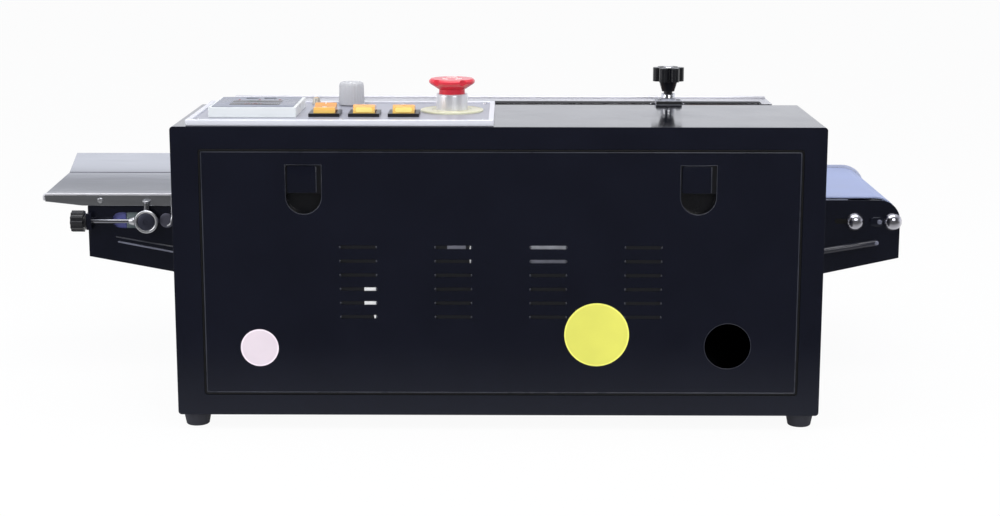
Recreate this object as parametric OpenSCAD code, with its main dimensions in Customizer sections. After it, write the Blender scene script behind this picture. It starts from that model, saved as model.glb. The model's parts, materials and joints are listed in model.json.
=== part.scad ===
// Continuous band sealer: a casing with the drive and the controls, a sealing head with two
// heated bands on its operator side, and a belt conveyor that carries the bags below the seal line.
// Before place() the frame is the casing's: X = 0 at its middle, Y = 0 at its service face
// with +Y towards the operator, and Z = 0 at the surface that the machine stands on.

/* [Casing] */
// Width of the casing
casing_w = 560; // [540:1:600]
// Depth of the casing, from the service face to the sealing head
casing_d = 158; // [154:1:180]
// Height of the casing without its feet
casing_h = 254; // [250:1:280]
// Thickness of the casing's sheet metal
sheet = 1.5; // [1:0.1:2]
// Outer bend radius of the casing's long edges
bend_r = 3; // [2:0.5:6]
// Height of the rubber feet
foot_h = 13; // [10:1:18]
// Upper diameter of a rubber foot
foot_d = 25; // [18:1:30]
// Lower diameter of a rubber foot
foot_tip_d = 20; // [14:1:26]
// Distance of the feet from the casing's sides
foot_inset = 14; // [13:1:30]

/* [Back panel] */
// Width of the border beside and above the back panel
panel_border = 21.4; // [18:0.1:30]
// Height of the back panel
back_h = 216.6; // [190:0.1:218]
// Distance of the finger pulls from the panel's middle
pull_x = 169; // [120:0.5:200]
// Width of a finger pull
pull_w = 31; // [26:1:40]
// Height of a finger pull
pull_h = 43; // [36:1:60]
// Depth of a finger pull
pull_depth = 12; // [8:1:18]
// Length of a vent slot
vent_l = 32; // [20:1:40]
// Width of a vent slot
vent_w = 3.2; // [2:0.1:6]
// Distance from one vent slot to the next below it
vent_pitch = 12.3; // [8:0.1:14]
// Distance between columns of vent slots
vent_step = 81.9; // [50:0.1:90]
// Number of vent slots in a column
vent_rows = 6; // [3:1:7]
// Diameter of the cable hole
cable_d = 40; // [20:1:44]
// Distance of the cable hole from the middle
cable_x = 199; // [150:1:210]

/* [Control panel] */
// Width of the control panel
ctrl_w = 263; // [255:1:270]
// Depth of the control panel
ctrl_d = 139; // [136:1:145]
// Height of the control panel's frame
ctrl_h = 5.5; // [4.5:0.1:8]
// Thickness of the control panel's plate
ctrl_plate_h = 4; // [2:0.1:4.4]
// Width of the control panel's frame
ctrl_border = 4.7; // [3:0.1:8]
// Width and depth of the temperature controller
controller_w = 76; // [70:1:80]
// Height of the temperature controller's bezel above the panel's plate
controller_h = 9; // [6:0.5:12]
// Distance between the rocker switches
rocker_step = 34.5; // [30:0.5:38]
// Width of a rocker
rocker_w = 19; // [14:1:22]
// Length of a rocker
rocker_l = 22; // [18:1:26]
// Swing of a rocker from one position to the other
rocker_swing = 16; // [10:1:20]
// Diameter of the speed knob
knob_d = 23.3; // [18:0.1:30]
// Height of the speed knob
knob_h = 20.7; // [14:0.1:26]
// Diameter of the emergency stop's head
estop_d = 40.8; // [36:0.1:44]
// Travel of the emergency stop
estop_travel = 4; // [2:0.5:5]

/* [Sealing head] */
// Height of the seal line above the ground
seal_z = 210; // [206:0.5:212]
// Distance between the drive wheels and the idler wheels
wheel_span = 450; // [440:1:460]
// Radius of the seal wheels
wheel_r = 24; // [22:0.5:25]
// Width of the seal bands
band_w = 15; // [10:1:16]
// Thickness of the seal bands
band_t = 0.5; // [0.3:0.1:1]
// Width of the toothed guide belts
guide_belt_w = 8; // [6:1:10]
// Thickness of the toothed guide belts
guide_belt_t = 3; // [2:0.1:4]
// Thickness of the head plate
head_plate_t = 5; // [4:0.5:6]
// Radius of the head's shafts
shaft_r = 6; // [5:0.5:8]
// Distance of the knurled pressure wheels from the middle
press_x = 158.3; // [140:0.1:170]
// Radius of the knurled pressure wheels
press_r = 16; // [12:0.5:18]
// Upward travel of the pressure screw
screw_travel = 1.25; // [0.5:0.25:1.5]
// Height to which the guard covers the head
guard_top_z = 266; // [265:0.5:272]
// Width of the guard
guard_w = 514; // [506:1:530]
// Distance by which the upper guard reaches out from the casing
guard_reach = 66; // [58:1:72]

/* [Conveyor] */
// Distance of the conveyor's near side plate from the casing
plate_stand = 40; // [39:1:47]
// Thickness of the conveyor's side plates
plate_t = 3; // [2:0.5:4]
// Height of the side plates' upper edge
plate_top_z = 170; // [168:0.1:172]
// Width of the conveyor belt
belt_w = 181; // [150:1:200]
// Thickness of the conveyor belt
belt_t = 1.4; // [1:0.1:2]
// Radius of the end rollers
roller_r = 22; // [20:0.5:22]
// Height of the end rollers' axles
roller_z = 149; // [146:0.5:150]
// Distance of the outfeed roller from the middle
outfeed_x = 363; // [360:0.5:368]
// Distance of the infeed roller from the middle
infeed_x = 341; // [338:0.5:350]
// Radius of the drive drum
drum_r = 22; // [18:0.5:23]
// Outward travel of the conveyor on its arms
conveyor_travel = 25; // [10:1:30]
// Travel of the infeed roller when the belt is slackened
tension_travel = 2.5; // [1:0.5:3]
// Length by which the tray reaches past the side plates
tray_overhang = 40.5; // [20:0.5:60]
// Thickness of the tray's stainless sheet
tray_t = 1.5; // [1:0.1:1.5]

/* [Hidden] */
$fn = 48;

// Clearances
gap = 0.3;          // between curved faces that move past each other
run = 0.05;         // radial clearance of a running shaft
seat = 0.02;        // radial clearance of a wheel fixed on its shaft

// Casing levels
casing_z = foot_h;
casing_top = foot_h + casing_h;
inner_x = casing_w / 2 - sheet;
wall_y = casing_d - sheet;
board_z = casing_z + sheet;

// Back panel
back_x = casing_w / 2 - panel_border;
back_mid = 2.2;
back_top = casing_top - panel_border + 2.1;
back_z = back_top - back_h;
lip = 8;
panel_gap = 1.1;
pull_top = casing_top - 32.8;
pull_plate_h = 25;
pull_wall = 1.2;
vent_top = casing_top - 104.3;
cable_z = casing_z + 62.5;

// Control panel, with each control's middle
ctrl_x = -4 - ctrl_w / 2;
ctrl_y = 3 + ctrl_d / 2;
ctrl_face = casing_top + ctrl_plate_h;
ctrl_cut = 12;
hole_gap = 0.2;
switch_wall = 3;
switch_depth = 18;
estop_plate_d = 56;
ctrl_left = ctrl_x - ctrl_w / 2 + ctrl_border;
switches_w = 2 * rocker_step + rocker_w + 2 * switch_wall;
ctrl_room = ctrl_w - 2 * ctrl_border - controller_w - switches_w - estop_plate_d;
controller_x = ctrl_left + 0.4 * ctrl_room + controller_w / 2;
controller_y = ctrl_y - 5.5;
controller_body = controller_w - 8;
controller_depth = 60;
display_w = 62;
key_step = 16;
key_w = 10;
key_l = 6;
key_h = 2.4;
key_y = controller_y + display_w / 2 - 7;
key_travel = 0.8;
rocker_x = controller_x + (controller_w + switches_w) / 2 + 0.4 * ctrl_room;
rocker_y = ctrl_y - 23.5;
rocker_z = ctrl_face + 3;
knob_x = rocker_x - 17.7;
knob_y = ctrl_y + 49.5;
lamp_x = knob_x - 32.6;
lamp_y = knob_y + 4;
lamp_r = 3;
lamp_h = 6;
estop_x = rocker_x + (switches_w + estop_plate_d) / 2 + 0.015 * ctrl_room;
estop_y = ctrl_y + 6.5;
estop_collar_d = 27;
estop_collar_h = 15.5;
estop_neck_d = 23;
estop_top = casing_top + 33;
estop_cap_h = 9;
estop_neck_h = 9;
estop_block = 24;
stem_r = 5;
estop_bush_r = stem_r + 4;

// Sealing head: the wheels' height above and below the seal line
band_gap = 0.2;
wheel_z = wheel_r + gap + band_t + band_gap;
wheel_x = wheel_span / 2;
head_y = casing_d + head_plate_t;
band_y = head_y;
guide_y = band_y + band_w + 6;
shaft_end_y = guide_y + guide_belt_w + 1;
pulley_r = wheel_r + band_t - guide_belt_t;
press_z = gap + band_t + band_gap + gap + press_r;
rod_y = band_y + band_w / 2;
block_h = 20;
heater_x = -90;
heater_l = 70;
cooler_x = 20;
cooler_l = 90;
fan_w = 60;
fan_pin_r = 3;
fan_x = cooler_x + 40;
fan_z = seal_z - 5;
head_top = seal_z + wheel_z + wheel_r;
head_low = seal_z - wheel_z - wheel_r;
guard_stand = 18;
guard_near_y = casing_d + guard_stand;
guard_far_y = casing_d + guard_reach;
plate_y = casing_d + plate_stand;
guard_edge = 6;
guard_low_y = plate_y - 3;
guard_post_r = 4;
guard_post_x = wheel_x - 35;

// Drive: the gearbox, its hub and the chain up to the lower drive wheel
drum_x = 60;
drum_z = 118;
hub_r = 11;
hub_sprocket_r = 16;
shaft_sprocket_r = 20;
chain_t = 3;
chain_w = 3;
chain_y = casing_d - sheet - 10;
gear_y = chain_y - 24;
gear_w = 10;
gear_teeth = 25;
bearing_r = 15;
gearbox_w = 70;

// Transformer and control board on the base plate
transformer_x = -215;
transformer_y = 70;
transformer_w = 70;
transformer_h = 62;
pcb_x = -115;
pcb_y = 67;
pcb_w = 110;
pcb_l = 90;
pcb_t = 1.6;
pillar_h = 8;

// Pressure wheel's yoke and screw
yoke_w = 26;
yoke_t = 2;
yoke_arm_t = 4;
yoke_top = seal_z + 2 * wheel_z + gap + yoke_t - 0.1;
socket_h = 3;
socket_r = 6;
screw_r = 4;
bracket_z = yoke_top + socket_h + screw_travel + 0.2;
bracket_t = 4;
star_z = casing_top + 21;
star_h = 13;
star_r = 14.5;
star_hub_r = 8.8;

// Conveyor
far_plate_y = plate_y + plate_t + 2 + belt_w + 2;
belt_y = plate_y + plate_t + 2;
far_y = far_plate_y + plate_t;
plate_right = outfeed_x + roller_r + gap + belt_t + 0.4;
plate_left = infeed_x + 57.8;
plate_end_z = 113.4;
plate_foot_z = 90;
plate_bend_z = 97.8;
snub_r = 10;
snub_dx = 40;
snub_z = 108;
axle_r = 5;
axle_end_r = 2.5;
slot_r = 7.5;
slot_reach = 29;
boss_r = 8.2;
ring_r = 11.25;
ring_y = plate_y - 9;
ring_t = 6;
tension_rod_r = 2;
tension_knob_r = 10.5;
tension_knob_l = 12;
tension_neck_l = 2;
dome_r = 8.5;
dome_h = 6;
dome_washer = 1.5;
nut_x = [plate_right - 43.6, plate_right - 7.2];
tray_y = plate_y - tray_t;
tray_left = plate_left + tray_overhang;
tray_right = 200;
tray_lip_z = 163.6;
tray_edge_z = 175;
tray_bend_z = 181.4;
tray_top_z = 198;
tray_reach = 92.7;
tray_far_y = tray_y + 117;

// Conveyor's arms and legs
arm_x = 150;
arm_w = 20;
arm_end_y = plate_y + 132;
leg_y = plate_y + 77;
leg_l = 30;
beam_h = 14;
beam_z = 95;

x_mid = (plate_right - tray_left) / 2;
y_mid = (far_y + ring_t / 2 + 1.5 + tension_knob_r) / 2;

// Puts the machine's box at its bottom middle
module place() { translate([-x_mid, -y_mid, 0]) children(); }

// A cylinder along +Y from y0, over the length l
module y_rod(x, y0, z, r, l) { translate([x, y0, z]) rotate([-90, 0, 0]) cylinder(r = r, h = l); }

// A ring along +Y
module y_ring(x, y0, z, r, bore, l) {
    difference() {
        y_rod(x, y0, z, r, l);
        y_rod(x, y0 - 1, z, bore, l + 2);
    }
}

// A box given by its low and high corners
module span(low, high) { translate(low) cube(high - low); }

// A flat outline in X and Z, given a thickness along +Y
module y_sheet(y0, t) { translate([0, y0 + t, 0]) rotate([90, 0, 0]) linear_extrude(t) children(); }

// A rectangle with rounded corners, centred on the origin
module round_rect(w, h, r) {
    square([w - 2 * r, h], center = true);
    square([w, h - 2 * r], center = true);
    for (x = [-1, 1], z = [-1, 1]) translate([x * (w / 2 - r), z * (h / 2 - r)]) circle(r);
}

// Angle of the left normal of the line that touches circle a and then circle b.
// A circle is [x, z, signed radius], and a radius below 0 is passed on the right.
function normal_angle(a, b) =
    atan2(b[1] - a[1], b[0] - a[0]) + acos((b[2] - a[2]) / norm([b[0] - a[0], b[1] - a[1]]));

// Points of one circle's arc, between the lines that reach and leave it
function arc_points(prev, c, next, step = 6) =
    let (a0 = normal_angle(prev, c), raw = normal_angle(c, next) - a0,
         turn = c[2] > 0 ? raw - 360 * floor(raw / 360) : raw - 360 * ceil(raw / 360),
         n = max(1, ceil(abs(turn) / step)))
    [for (i = [0 : n]) let (a = a0 + turn * i / n) [c[0] - c[2] * cos(a), c[1] - c[2] * sin(a)]];

// Outline of a loop that runs anticlockwise around the circles, grown by t
function loop_points(circles, t) =
    let (grown = [for (c = circles) [c[0], c[1], c[2] + t]], n = len(grown))
    [for (i = [0 : n - 1]) each arc_points(grown[(i + n - 1) % n], grown[i], grown[(i + 1) % n])];

// A belt of thickness t and width w around the circles
module belt_loop(circles, t, y0, w) {
    y_sheet(y0, w) difference() {
        polygon(loop_points(circles, t));
        polygon(loop_points(circles, 0));
    }
}

// A toothed disc: each tooth is a trapezium on the root circle
module toothed(teeth, root_r, tip_r, share = 0.42) {
    step = 360 / teeth;
    polygon([for (i = [0 : teeth - 1], p = [[-share, 0], [-share / 2.6, 1], [share / 2.6, 1], [share, 0]])
        let (r = p[1] == 1 ? tip_r : root_r, a = step * (i + p[0] * 0.62)) [r * cos(a), r * sin(a)]]);
}

// ---- Casing ----

module casing_shell() {
    color("#1c1e26") place() difference() {
        y_sheet(0, casing_d) translate([0, casing_z + casing_h / 2]) round_rect(casing_w, casing_h, bend_r);
        span([-inner_x, sheet, casing_z - 1], [inner_x, casing_d + 1, casing_top - sheet]);
        span([back_mid - back_x + lip, -1, back_z + lip], [back_mid + back_x - lip, sheet + 1, back_top - lip]);
        span([back_mid - back_x, -1, back_z], [back_mid + back_x, sheet / 2, back_top]);
        span([ctrl_x - ctrl_w / 2 + ctrl_cut, 3 + ctrl_cut, casing_top - sheet - 1],
             [ctrl_x + ctrl_w / 2 - ctrl_cut, 3 + ctrl_d - ctrl_cut, casing_top + 1]);
    }
}

module base_plate() {
    color("#25272e") place()
        span([-inner_x, sheet, casing_z], [inner_x, wall_y, board_z]);
}

module front_wall() {
    color("#1c1e26") place() difference() {
        span([-inner_x, wall_y, casing_z], [inner_x, casing_d, casing_top - sheet]);
        for (side = [-1, 1]) y_rod(wheel_x, wall_y - 1, seal_z + side * wheel_z, bearing_r, sheet + 2);
        y_rod(drum_x, wall_y - 1, drum_z, hub_r + 4, sheet + 2);
    }
}

module back_panel() {
    color("#191b22") place() difference() {
        span([back_mid - back_x + panel_gap, -sheet / 2, back_z + panel_gap],
             [back_mid + back_x - panel_gap, sheet / 2, back_top - panel_gap]);
        span([back_mid - back_x, -sheet, back_z], [back_mid + back_x, 0, back_top]);
        for (side = [-1, 1]) y_sheet(-sheet, 2 * sheet) pull_outline(side, 0);
        for (col = [-1.5 : 1.5], row = [0 : vent_rows - 1])
            y_sheet(-sheet, 2 * sheet) translate([back_mid + col * vent_step, vent_top - row * vent_pitch])
                round_rect(vent_l, vent_w, vent_w / 2 - 0.01);
        y_rod(cable_x, -sheet, cable_z, cable_d / 2, 2 * sheet);
    }
}

// The U-shaped outline of a finger pull, grown by t
module pull_outline(side, t) {
    r = pull_w / 2;
    translate([back_mid + side * pull_x, pull_top - pull_h + r]) circle(r + t);
    translate([back_mid + side * pull_x - r - t, pull_top - pull_h + r]) square([pull_w + 2 * t, pull_h - r + t]);
}

// Cups behind the panel, each with a snap plate across its upper part
module finger_pulls() {
    color("#14151a") place() for (side = [-1, 1]) {
        difference() {
            y_sheet(sheet / 2, pull_depth) pull_outline(side, pull_wall);
            y_sheet(0, pull_depth + sheet / 2 - pull_wall) pull_outline(side, 0);
        }
        span([back_mid + side * pull_x - pull_w / 2, sheet / 2 + 1.5, pull_top - pull_plate_h],
             [back_mid + side * pull_x + pull_w / 2, sheet / 2 + 1.5 + pull_wall, pull_top]);
    }
}

module rubber_feet() {
    color("#3c3c44") place() {
        for (x = [-1, 1], y = [foot_inset + 4, casing_d - foot_inset - 4])
            translate([x * (casing_w / 2 - foot_inset), y, 0]) cylinder(d1 = foot_tip_d, d2 = foot_d, h = foot_h);
        for (x = [-1, 1])
            translate([x * arm_x, arm_end_y - foot_inset, 0]) cylinder(d1 = foot_tip_d, d2 = foot_d, h = board_z);
    }
}

// Two square bars that reach from the casing's wall to the front feet
module support_arms() {
    color("#25272e") place() for (x = [-1, 1])
        span([x * arm_x - arm_w / 2, casing_d, board_z], [x * arm_x + arm_w / 2, arm_end_y, board_z + arm_w]);
}

// ---- Control panel ----

module panel_frame() {
    color("#e7e9f3") place() difference() {
        span([ctrl_x - ctrl_w / 2, 3, casing_top], [ctrl_x + ctrl_w / 2, 3 + ctrl_d, casing_top + ctrl_h]);
        span([ctrl_x - ctrl_w / 2 + ctrl_border, 3 + ctrl_border, casing_top - 1],
             [ctrl_x + ctrl_w / 2 - ctrl_border, 3 + ctrl_d - ctrl_border, casing_top + ctrl_h + 1]);
    }
}

// A square that is centred on the panel and passes down through its plate
module plate_cut(x, y, w, l) { span([x - w / 2, y - l / 2, casing_top - 1], [x + w / 2, y + l / 2, ctrl_face + 1]); }

module panel_plate() {
    color("#b1b2be") place() difference() {
        span([ctrl_x - ctrl_w / 2 + ctrl_border, 3 + ctrl_border, casing_top],
             [ctrl_x + ctrl_w / 2 - ctrl_border, 3 + ctrl_d - ctrl_border, ctrl_face]);
        plate_cut(controller_x, controller_y, controller_body, controller_body);
        for (i = [-1 : 1]) plate_cut(rocker_x + i * rocker_step, rocker_y,
            rocker_w + 2 * switch_wall, rocker_l + 2 * switch_wall);
        translate([knob_x, knob_y, casing_top - 1]) cylinder(r = stem_r + hole_gap, h = ctrl_plate_h + 2);
        translate([lamp_x, lamp_y, casing_top - 1]) cylinder(r = lamp_r + hole_gap, h = ctrl_plate_h + 2);
        translate([estop_x, estop_y, casing_top - 1]) cylinder(r = estop_bush_r + hole_gap, h = ctrl_plate_h + 2);
    }
}

module controller_case() {
    half = controller_w / 2;
    color("#f3f7f7") place() translate([controller_x, controller_y, 0]) difference() {
        union() {
            span([-half, -half, ctrl_face], [half, half, ctrl_face + controller_h]);
            span([-controller_body / 2, -controller_body / 2, ctrl_face - controller_depth],
                 [controller_body / 2, controller_body / 2, ctrl_face]);
        }
        span([-display_w / 2, -display_w / 2, ctrl_face + controller_h - 1],
             [display_w / 2, display_w / 2, ctrl_face + controller_h + 1]);
        for (side = [-1, 1])
            span([side * key_step / 2 - key_w / 2 - gap, display_w / 2 - 7 - key_l / 2 - gap, ctrl_face + controller_h - 4],
                 [side * key_step / 2 + key_w / 2 + gap, display_w / 2 - 7 + key_l / 2 + gap, ctrl_face + controller_h + 1]);
    }
}

// A key of the controller, over its travel above the bottom of its well
module controller_key(side) {
    z = ctrl_face + controller_h - 4 + key_travel + 0.2;
    color("#9da0ac") place()
        span([controller_x + side * key_step / 2 - key_w / 2, key_y - key_l / 2, z],
             [controller_x + side * key_step / 2 + key_w / 2, key_y + key_l / 2, z + key_h + 0.6]);
}

module controller_key_up() { controller_key(1); }
module controller_key_down() { controller_key(-1); }

// A switch body with a trough that follows the rocker's round underside
module switch_housings() {
    color("#202127") place() for (i = [-1 : 1]) translate([rocker_x + i * rocker_step, rocker_y, 0]) {
        w = rocker_w / 2 + switch_wall;
        l = rocker_l / 2 + switch_wall;
        difference() {
            union() {
                span([-w, -l, ctrl_face - switch_depth], [w, l, ctrl_face]);
                span([-w - 1, -l - 1, ctrl_face], [w + 1, l + 1, ctrl_face + 3]);
            }
            span([-rocker_w / 2 - gap, -rocker_l / 2 - gap - 1, ctrl_face - 12],
                 [rocker_w / 2 + gap, rocker_l / 2 + gap + 1, ctrl_face + 4]);
        }
        for (side = [-1, 1]) translate([side * (rocker_w / 2 + gap), 0, rocker_z])
            rotate([0, side * -90, 0]) cylinder(r = 1.5, h = 1.5);
    }
}

// A rocker, whose underside is round about the pivot; the first is shown with its near end
// pressed, the others with their far end pressed
module rocker(i) {
    tilt = i < 0 ? rocker_swing / 2 : -rocker_swing / 2;
    color("#f0a040") place() translate([rocker_x + i * rocker_step, rocker_y, rocker_z])
        rotate([tilt, 0, 0]) difference() {
            translate([-rocker_w / 2, 0, 0]) rotate([90, 0, 90]) linear_extrude(rocker_w) intersection() {
                translate([0, -1]) circle(rocker_l / 2);
                polygon([[-rocker_l / 2, -9], [rocker_l / 2, -9], [rocker_l / 2, 6.5], [0, 4.5], [-rocker_l / 2, 6.5]]);
            }
            for (side = [-1, 1]) translate([side * (rocker_w / 2 - 1.6), 0, 0])
                rotate([0, side * 90, 0]) cylinder(r = 1.5 + run, h = 3);
        }
}

module rocker_1() { rocker(-1); }
module rocker_2() { rocker(0); }
module rocker_3() { rocker(1); }

// Potentiometer: its can under the panel, its bush through the plate and its shaft
module speed_pot() {
    color("#9a9ca4") place() translate([knob_x, knob_y, 0]) {
        translate([0, 0, casing_top - 18]) cylinder(r = 8, h = 16);
        translate([0, 0, casing_top - 2]) cylinder(r = stem_r, h = ctrl_plate_h + 2.3);
        translate([0, 0, ctrl_face]) cylinder(r = 3, h = 12);
    }
}

module speed_knob() {
    color("#8e9099") place() translate([knob_x, knob_y, ctrl_face + 0.5]) difference() {
        rotate_extrude() polygon([[0, 0], [knob_d / 2, 0], [knob_d / 2 - 0.6, knob_h - 2], [knob_d / 2 - 1.2, knob_h - 0.6],
            [knob_d / 2 - 2.6, knob_h], [0, knob_h]]);
        translate([0, 0, -1]) cylinder(r = 3 + run, h = 13);
        translate([0, 0, -1]) cylinder(r = stem_r + 1, h = 2);
    }
}

module indicator_lamp() {
    color("#b89a72") place() translate([lamp_x, lamp_y, 0]) {
        translate([0, 0, ctrl_face - 14]) cylinder(r = lamp_r, h = 14);
        translate([0, 0, ctrl_face]) cylinder(r1 = lamp_r + 1.2, r2 = lamp_r, h = lamp_h);
    }
}

// ---- Emergency stop ----

// Yellow plate, collar and contact block, with a well in which the stem slides
module estop_base() {
    neck_z = estop_top - estop_cap_h - estop_neck_h;
    color("#e6df60") place() translate([estop_x, estop_y, 0]) difference() {
        union() {
            translate([0, 0, ctrl_face]) cylinder(d = estop_plate_d, h = 1.5);
            translate([0, 0, ctrl_face]) cylinder(d = estop_collar_d, h = estop_collar_h);
            translate([0, 0, ctrl_face - 8]) cylinder(r = estop_bush_r, h = 8);
            span([-estop_block / 2, -estop_block / 2, ctrl_face - 40], [estop_block / 2, estop_block / 2, ctrl_face - 8]);
        }
        translate([0, 0, ctrl_face - 26]) cylinder(r = stem_r + run, h = 40);
        translate([0, 0, neck_z - estop_travel - 1]) cylinder(d = estop_neck_d + 2 * gap, h = 20);
    }
}

module estop_stem() {
    color("#c9ccd2") place() translate([estop_x, estop_y, ctrl_face - 20])
        cylinder(r = stem_r, h = estop_top - estop_cap_h - ctrl_face + 20 + 6);
}

// The lobed red head, which turns on the stem to let it spring back
module estop_head() {
    low = estop_top - estop_cap_h;
    color("#e23a4c") place() translate([estop_x, estop_y, 0]) difference() {
        union() {
            translate([0, 0, low - estop_neck_h]) cylinder(d = estop_neck_d, h = estop_neck_h + 1);
            translate([0, 0, low]) rotate_extrude() polygon([[0, 0], [estop_neck_d / 2 + 1, 0], [estop_d / 2 - 1.5, 4.2],
                [estop_d / 2, 5.6], [estop_d / 2, 7.4], [estop_d / 2 - 1.6, estop_cap_h], [0, estop_cap_h]]);
        }
        translate([0, 0, low - estop_neck_h - 1]) cylinder(r = stem_r + run, h = estop_neck_h + 8);
        for (i = [0 : 4]) rotate(229 + i * 72) translate([estop_d / 2 + 1.2, 0, low - 1]) cylinder(r = 3.4, h = estop_cap_h + 2);
    }
}

// ---- Drive inside the casing ----

module gearbox() {
    low = drum_z - gearbox_w / 2 - 6;
    color("#5d6068") place() difference() {
        span([drum_x - gearbox_w / 2, gear_y - 40, low], [drum_x + gearbox_w / 2, chain_y - 8, low + gearbox_w]);
        y_rod(drum_x, gear_y - 28, drum_z, hub_r + run, 90);
    }
    color("#5d6068") place()
        span([drum_x - gearbox_w / 2, gear_y - 40, board_z], [drum_x + gearbox_w / 2, chain_y - 8, low]);
}

module motor() {
    color("#aeb2ba") place() translate([drum_x - gearbox_w / 2, gear_y - 15, drum_z - 6]) {
        rotate([0, -90, 0]) cylinder(r = 34, h = 88);
        translate([-88, 0, 0]) rotate([0, -90, 0]) cylinder(r = 28, h = 6);
    }
    color("#aeb2ba") place() for (x = [12, 70])
        span([drum_x - gearbox_w / 2 - x - 10, gear_y - 35, board_z], [drum_x - gearbox_w / 2 - x, gear_y + 5, drum_z - 36]);
}

// The hollow hub that takes the conveyor's shaft, with its sprocket
module output_hub() {
    color("#c4c8ce") place() difference() {
        union() {
            y_rod(drum_x, gear_y - 27, drum_z, hub_r, chain_y + chain_t - gear_y + 29);
            y_sheet(chain_y, chain_t) translate([drum_x, drum_z]) toothed(12, hub_sprocket_r - 3, hub_sprocket_r - gap);
        }
        y_rod(drum_x, gear_y - 30, drum_z, shaft_r + run, 80);
    }
}

module drive_chain() {
    color("#8a8d94") place() belt_loop([[wheel_x, seal_z - wheel_z, shaft_sprocket_r + gap],
        [drum_x, drum_z, hub_sprocket_r + gap]], chain_w, chain_y, chain_t);
}

module transformer() {
    color("#8d7b5e") place() translate([transformer_x, transformer_y, board_z]) {
        span([-transformer_w / 2, -30, 0], [transformer_w / 2, 30, transformer_h]);
        span([10 - transformer_w / 2, -36, 12], [transformer_w / 2 - 10, 36, transformer_h - 12]);
    }
}

// Control board on four pillars, with its relays and terminal block
module circuit_board() {
    top = pillar_h + pcb_t;
    color("#3c7a4a") place() translate([pcb_x, pcb_y, board_z]) {
        span([-pcb_w / 2, -pcb_l / 2, pillar_h], [pcb_w / 2, pcb_l / 2, top]);
        for (x = [-1, 1], y = [-1, 1])
            translate([x * (pcb_w / 2 - 6), y * (pcb_l / 2 - 6), 0]) cylinder(r = 3, h = pillar_h);
        for (i = [-1 : 1]) span([i * 30 - 20, 13, top], [i * 30, 33, top + 16.4]);
        span([-35, 4 - pcb_l / 2, top], [35, 16 - pcb_l / 2, top + 14.4]);
    }
}

// Cooling fan at the wall, which blows on the cooling blocks
module fan_housing() {
    color("#202127") place() difference() {
        span([fan_x - fan_w / 2, wall_y - 20, fan_z - fan_w / 2], [fan_x + fan_w / 2, wall_y, fan_z + fan_w / 2]);
        y_rod(fan_x, wall_y - 21, fan_z, fan_w / 2 - 2, 15);
    }
    color("#202127") place() y_rod(fan_x, wall_y - 16, fan_z, fan_pin_r, 12);
}

module fan_rotor() {
    color("#33353c") place() translate([fan_x, wall_y - 17, fan_z]) rotate([-90, 0, 0]) difference() {
        union() {
            cylinder(r = 10, h = 9);
            for (i = [0 : 6]) rotate(i * 360 / 7) rotate([0, 0, 0]) translate([18, 0, 4.5])
                rotate([35, 0, 0]) cube([18, 11, 1.2], center = true);
        }
        translate([0, 0, 0.9]) cylinder(r = fan_pin_r + run, h = 10);
    }
}

// ---- Sealing head ----

module head_plate() {
    color("#c4c8ce") place() difference() {
        span([-guard_w / 2 + 4, casing_d, head_low - 2], [guard_w / 2 - 4, head_y, head_top + 2]);
        for (side = [-1, 1]) y_rod(wheel_x, casing_d - 1, seal_z + side * wheel_z, bearing_r, head_plate_t + 2);
    }
}

// Bearings of the two drive shafts, let into the head plate and the wall
module shaft_bearings() {
    color("#dfe2e6") place() for (side = [-1, 1])
        y_ring(wheel_x, wall_y - 4, seal_z + side * wheel_z, bearing_r, shaft_r + run, head_y - gap - wall_y + 4);
}

// Axles of the idlers and the lower pressure wheel, riveted into the head plate
module idler_axles() {
    color("#dfe2e6") place() {
        for (side = [-1, 1]) y_rod(-wheel_x, head_y, seal_z + side * wheel_z, shaft_r, shaft_end_y - head_y);
        y_rod(press_x, head_y, seal_z - press_z, shaft_r, band_w + 2);
    }
}

// A seal wheel and the guide belt's pulley in one piece
module head_wheel(x, side, bore) {
    color("#d4d7dc") place() difference() {
        union() {
            y_rod(x, band_y + gap, seal_z + side * wheel_z, wheel_r, band_w + 2);
            y_rod(x, band_y + gap + band_w + 2, seal_z + side * wheel_z, shaft_r + 5, guide_y - band_y - band_w - 2);
            y_rod(x, guide_y, seal_z + side * wheel_z, pulley_r, guide_belt_w);
        }
        y_rod(x, band_y - 1, seal_z + side * wheel_z, bore, shaft_end_y);
    }
}

module lower_drive_wheel() { head_wheel(wheel_x, -1, shaft_r + seat); }
module upper_drive_wheel() { head_wheel(wheel_x, 1, shaft_r + seat); }
module lower_idler() { head_wheel(-wheel_x, -1, shaft_r + run); }
module upper_idler() { head_wheel(-wheel_x, 1, shaft_r + run); }

// A drive shaft with its spur gear; the two gears mesh at the seal line's height
module drive_shaft(side) {
    y_rod(wheel_x, gear_y - 10, seal_z + side * wheel_z, shaft_r, shaft_end_y - gear_y + 10);
    y_sheet(gear_y, gear_w) translate([wheel_x, seal_z + side * wheel_z])
        rotate(side * -90 + (side > 0 ? 180 / gear_teeth : 0)) toothed(gear_teeth, wheel_z - 2.4, wheel_z + 1.6);
}

module lower_shaft() {
    color("#c4c8ce") place() {
        drive_shaft(-1);
        y_sheet(chain_y, chain_t) translate([wheel_x, seal_z - wheel_z])
            toothed(15, shaft_sprocket_r - 3, shaft_sprocket_r - gap);
    }
}

module upper_shaft() { color("#c4c8ce") place() drive_shaft(1); }

module press_wheel(side) {
    color("#b4b7bd") place() difference() {
        y_sheet(band_y + gap, band_w) translate([press_x, seal_z + side * press_z])
            toothed(40, press_r - 0.8, press_r, 0.6);
        y_rod(press_x, band_y - 1, seal_z + side * press_z, shaft_r + run, band_w + 4);
    }
}

module lower_press_wheel() { press_wheel(-1); }
module upper_press_wheel() { press_wheel(1); }

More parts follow.
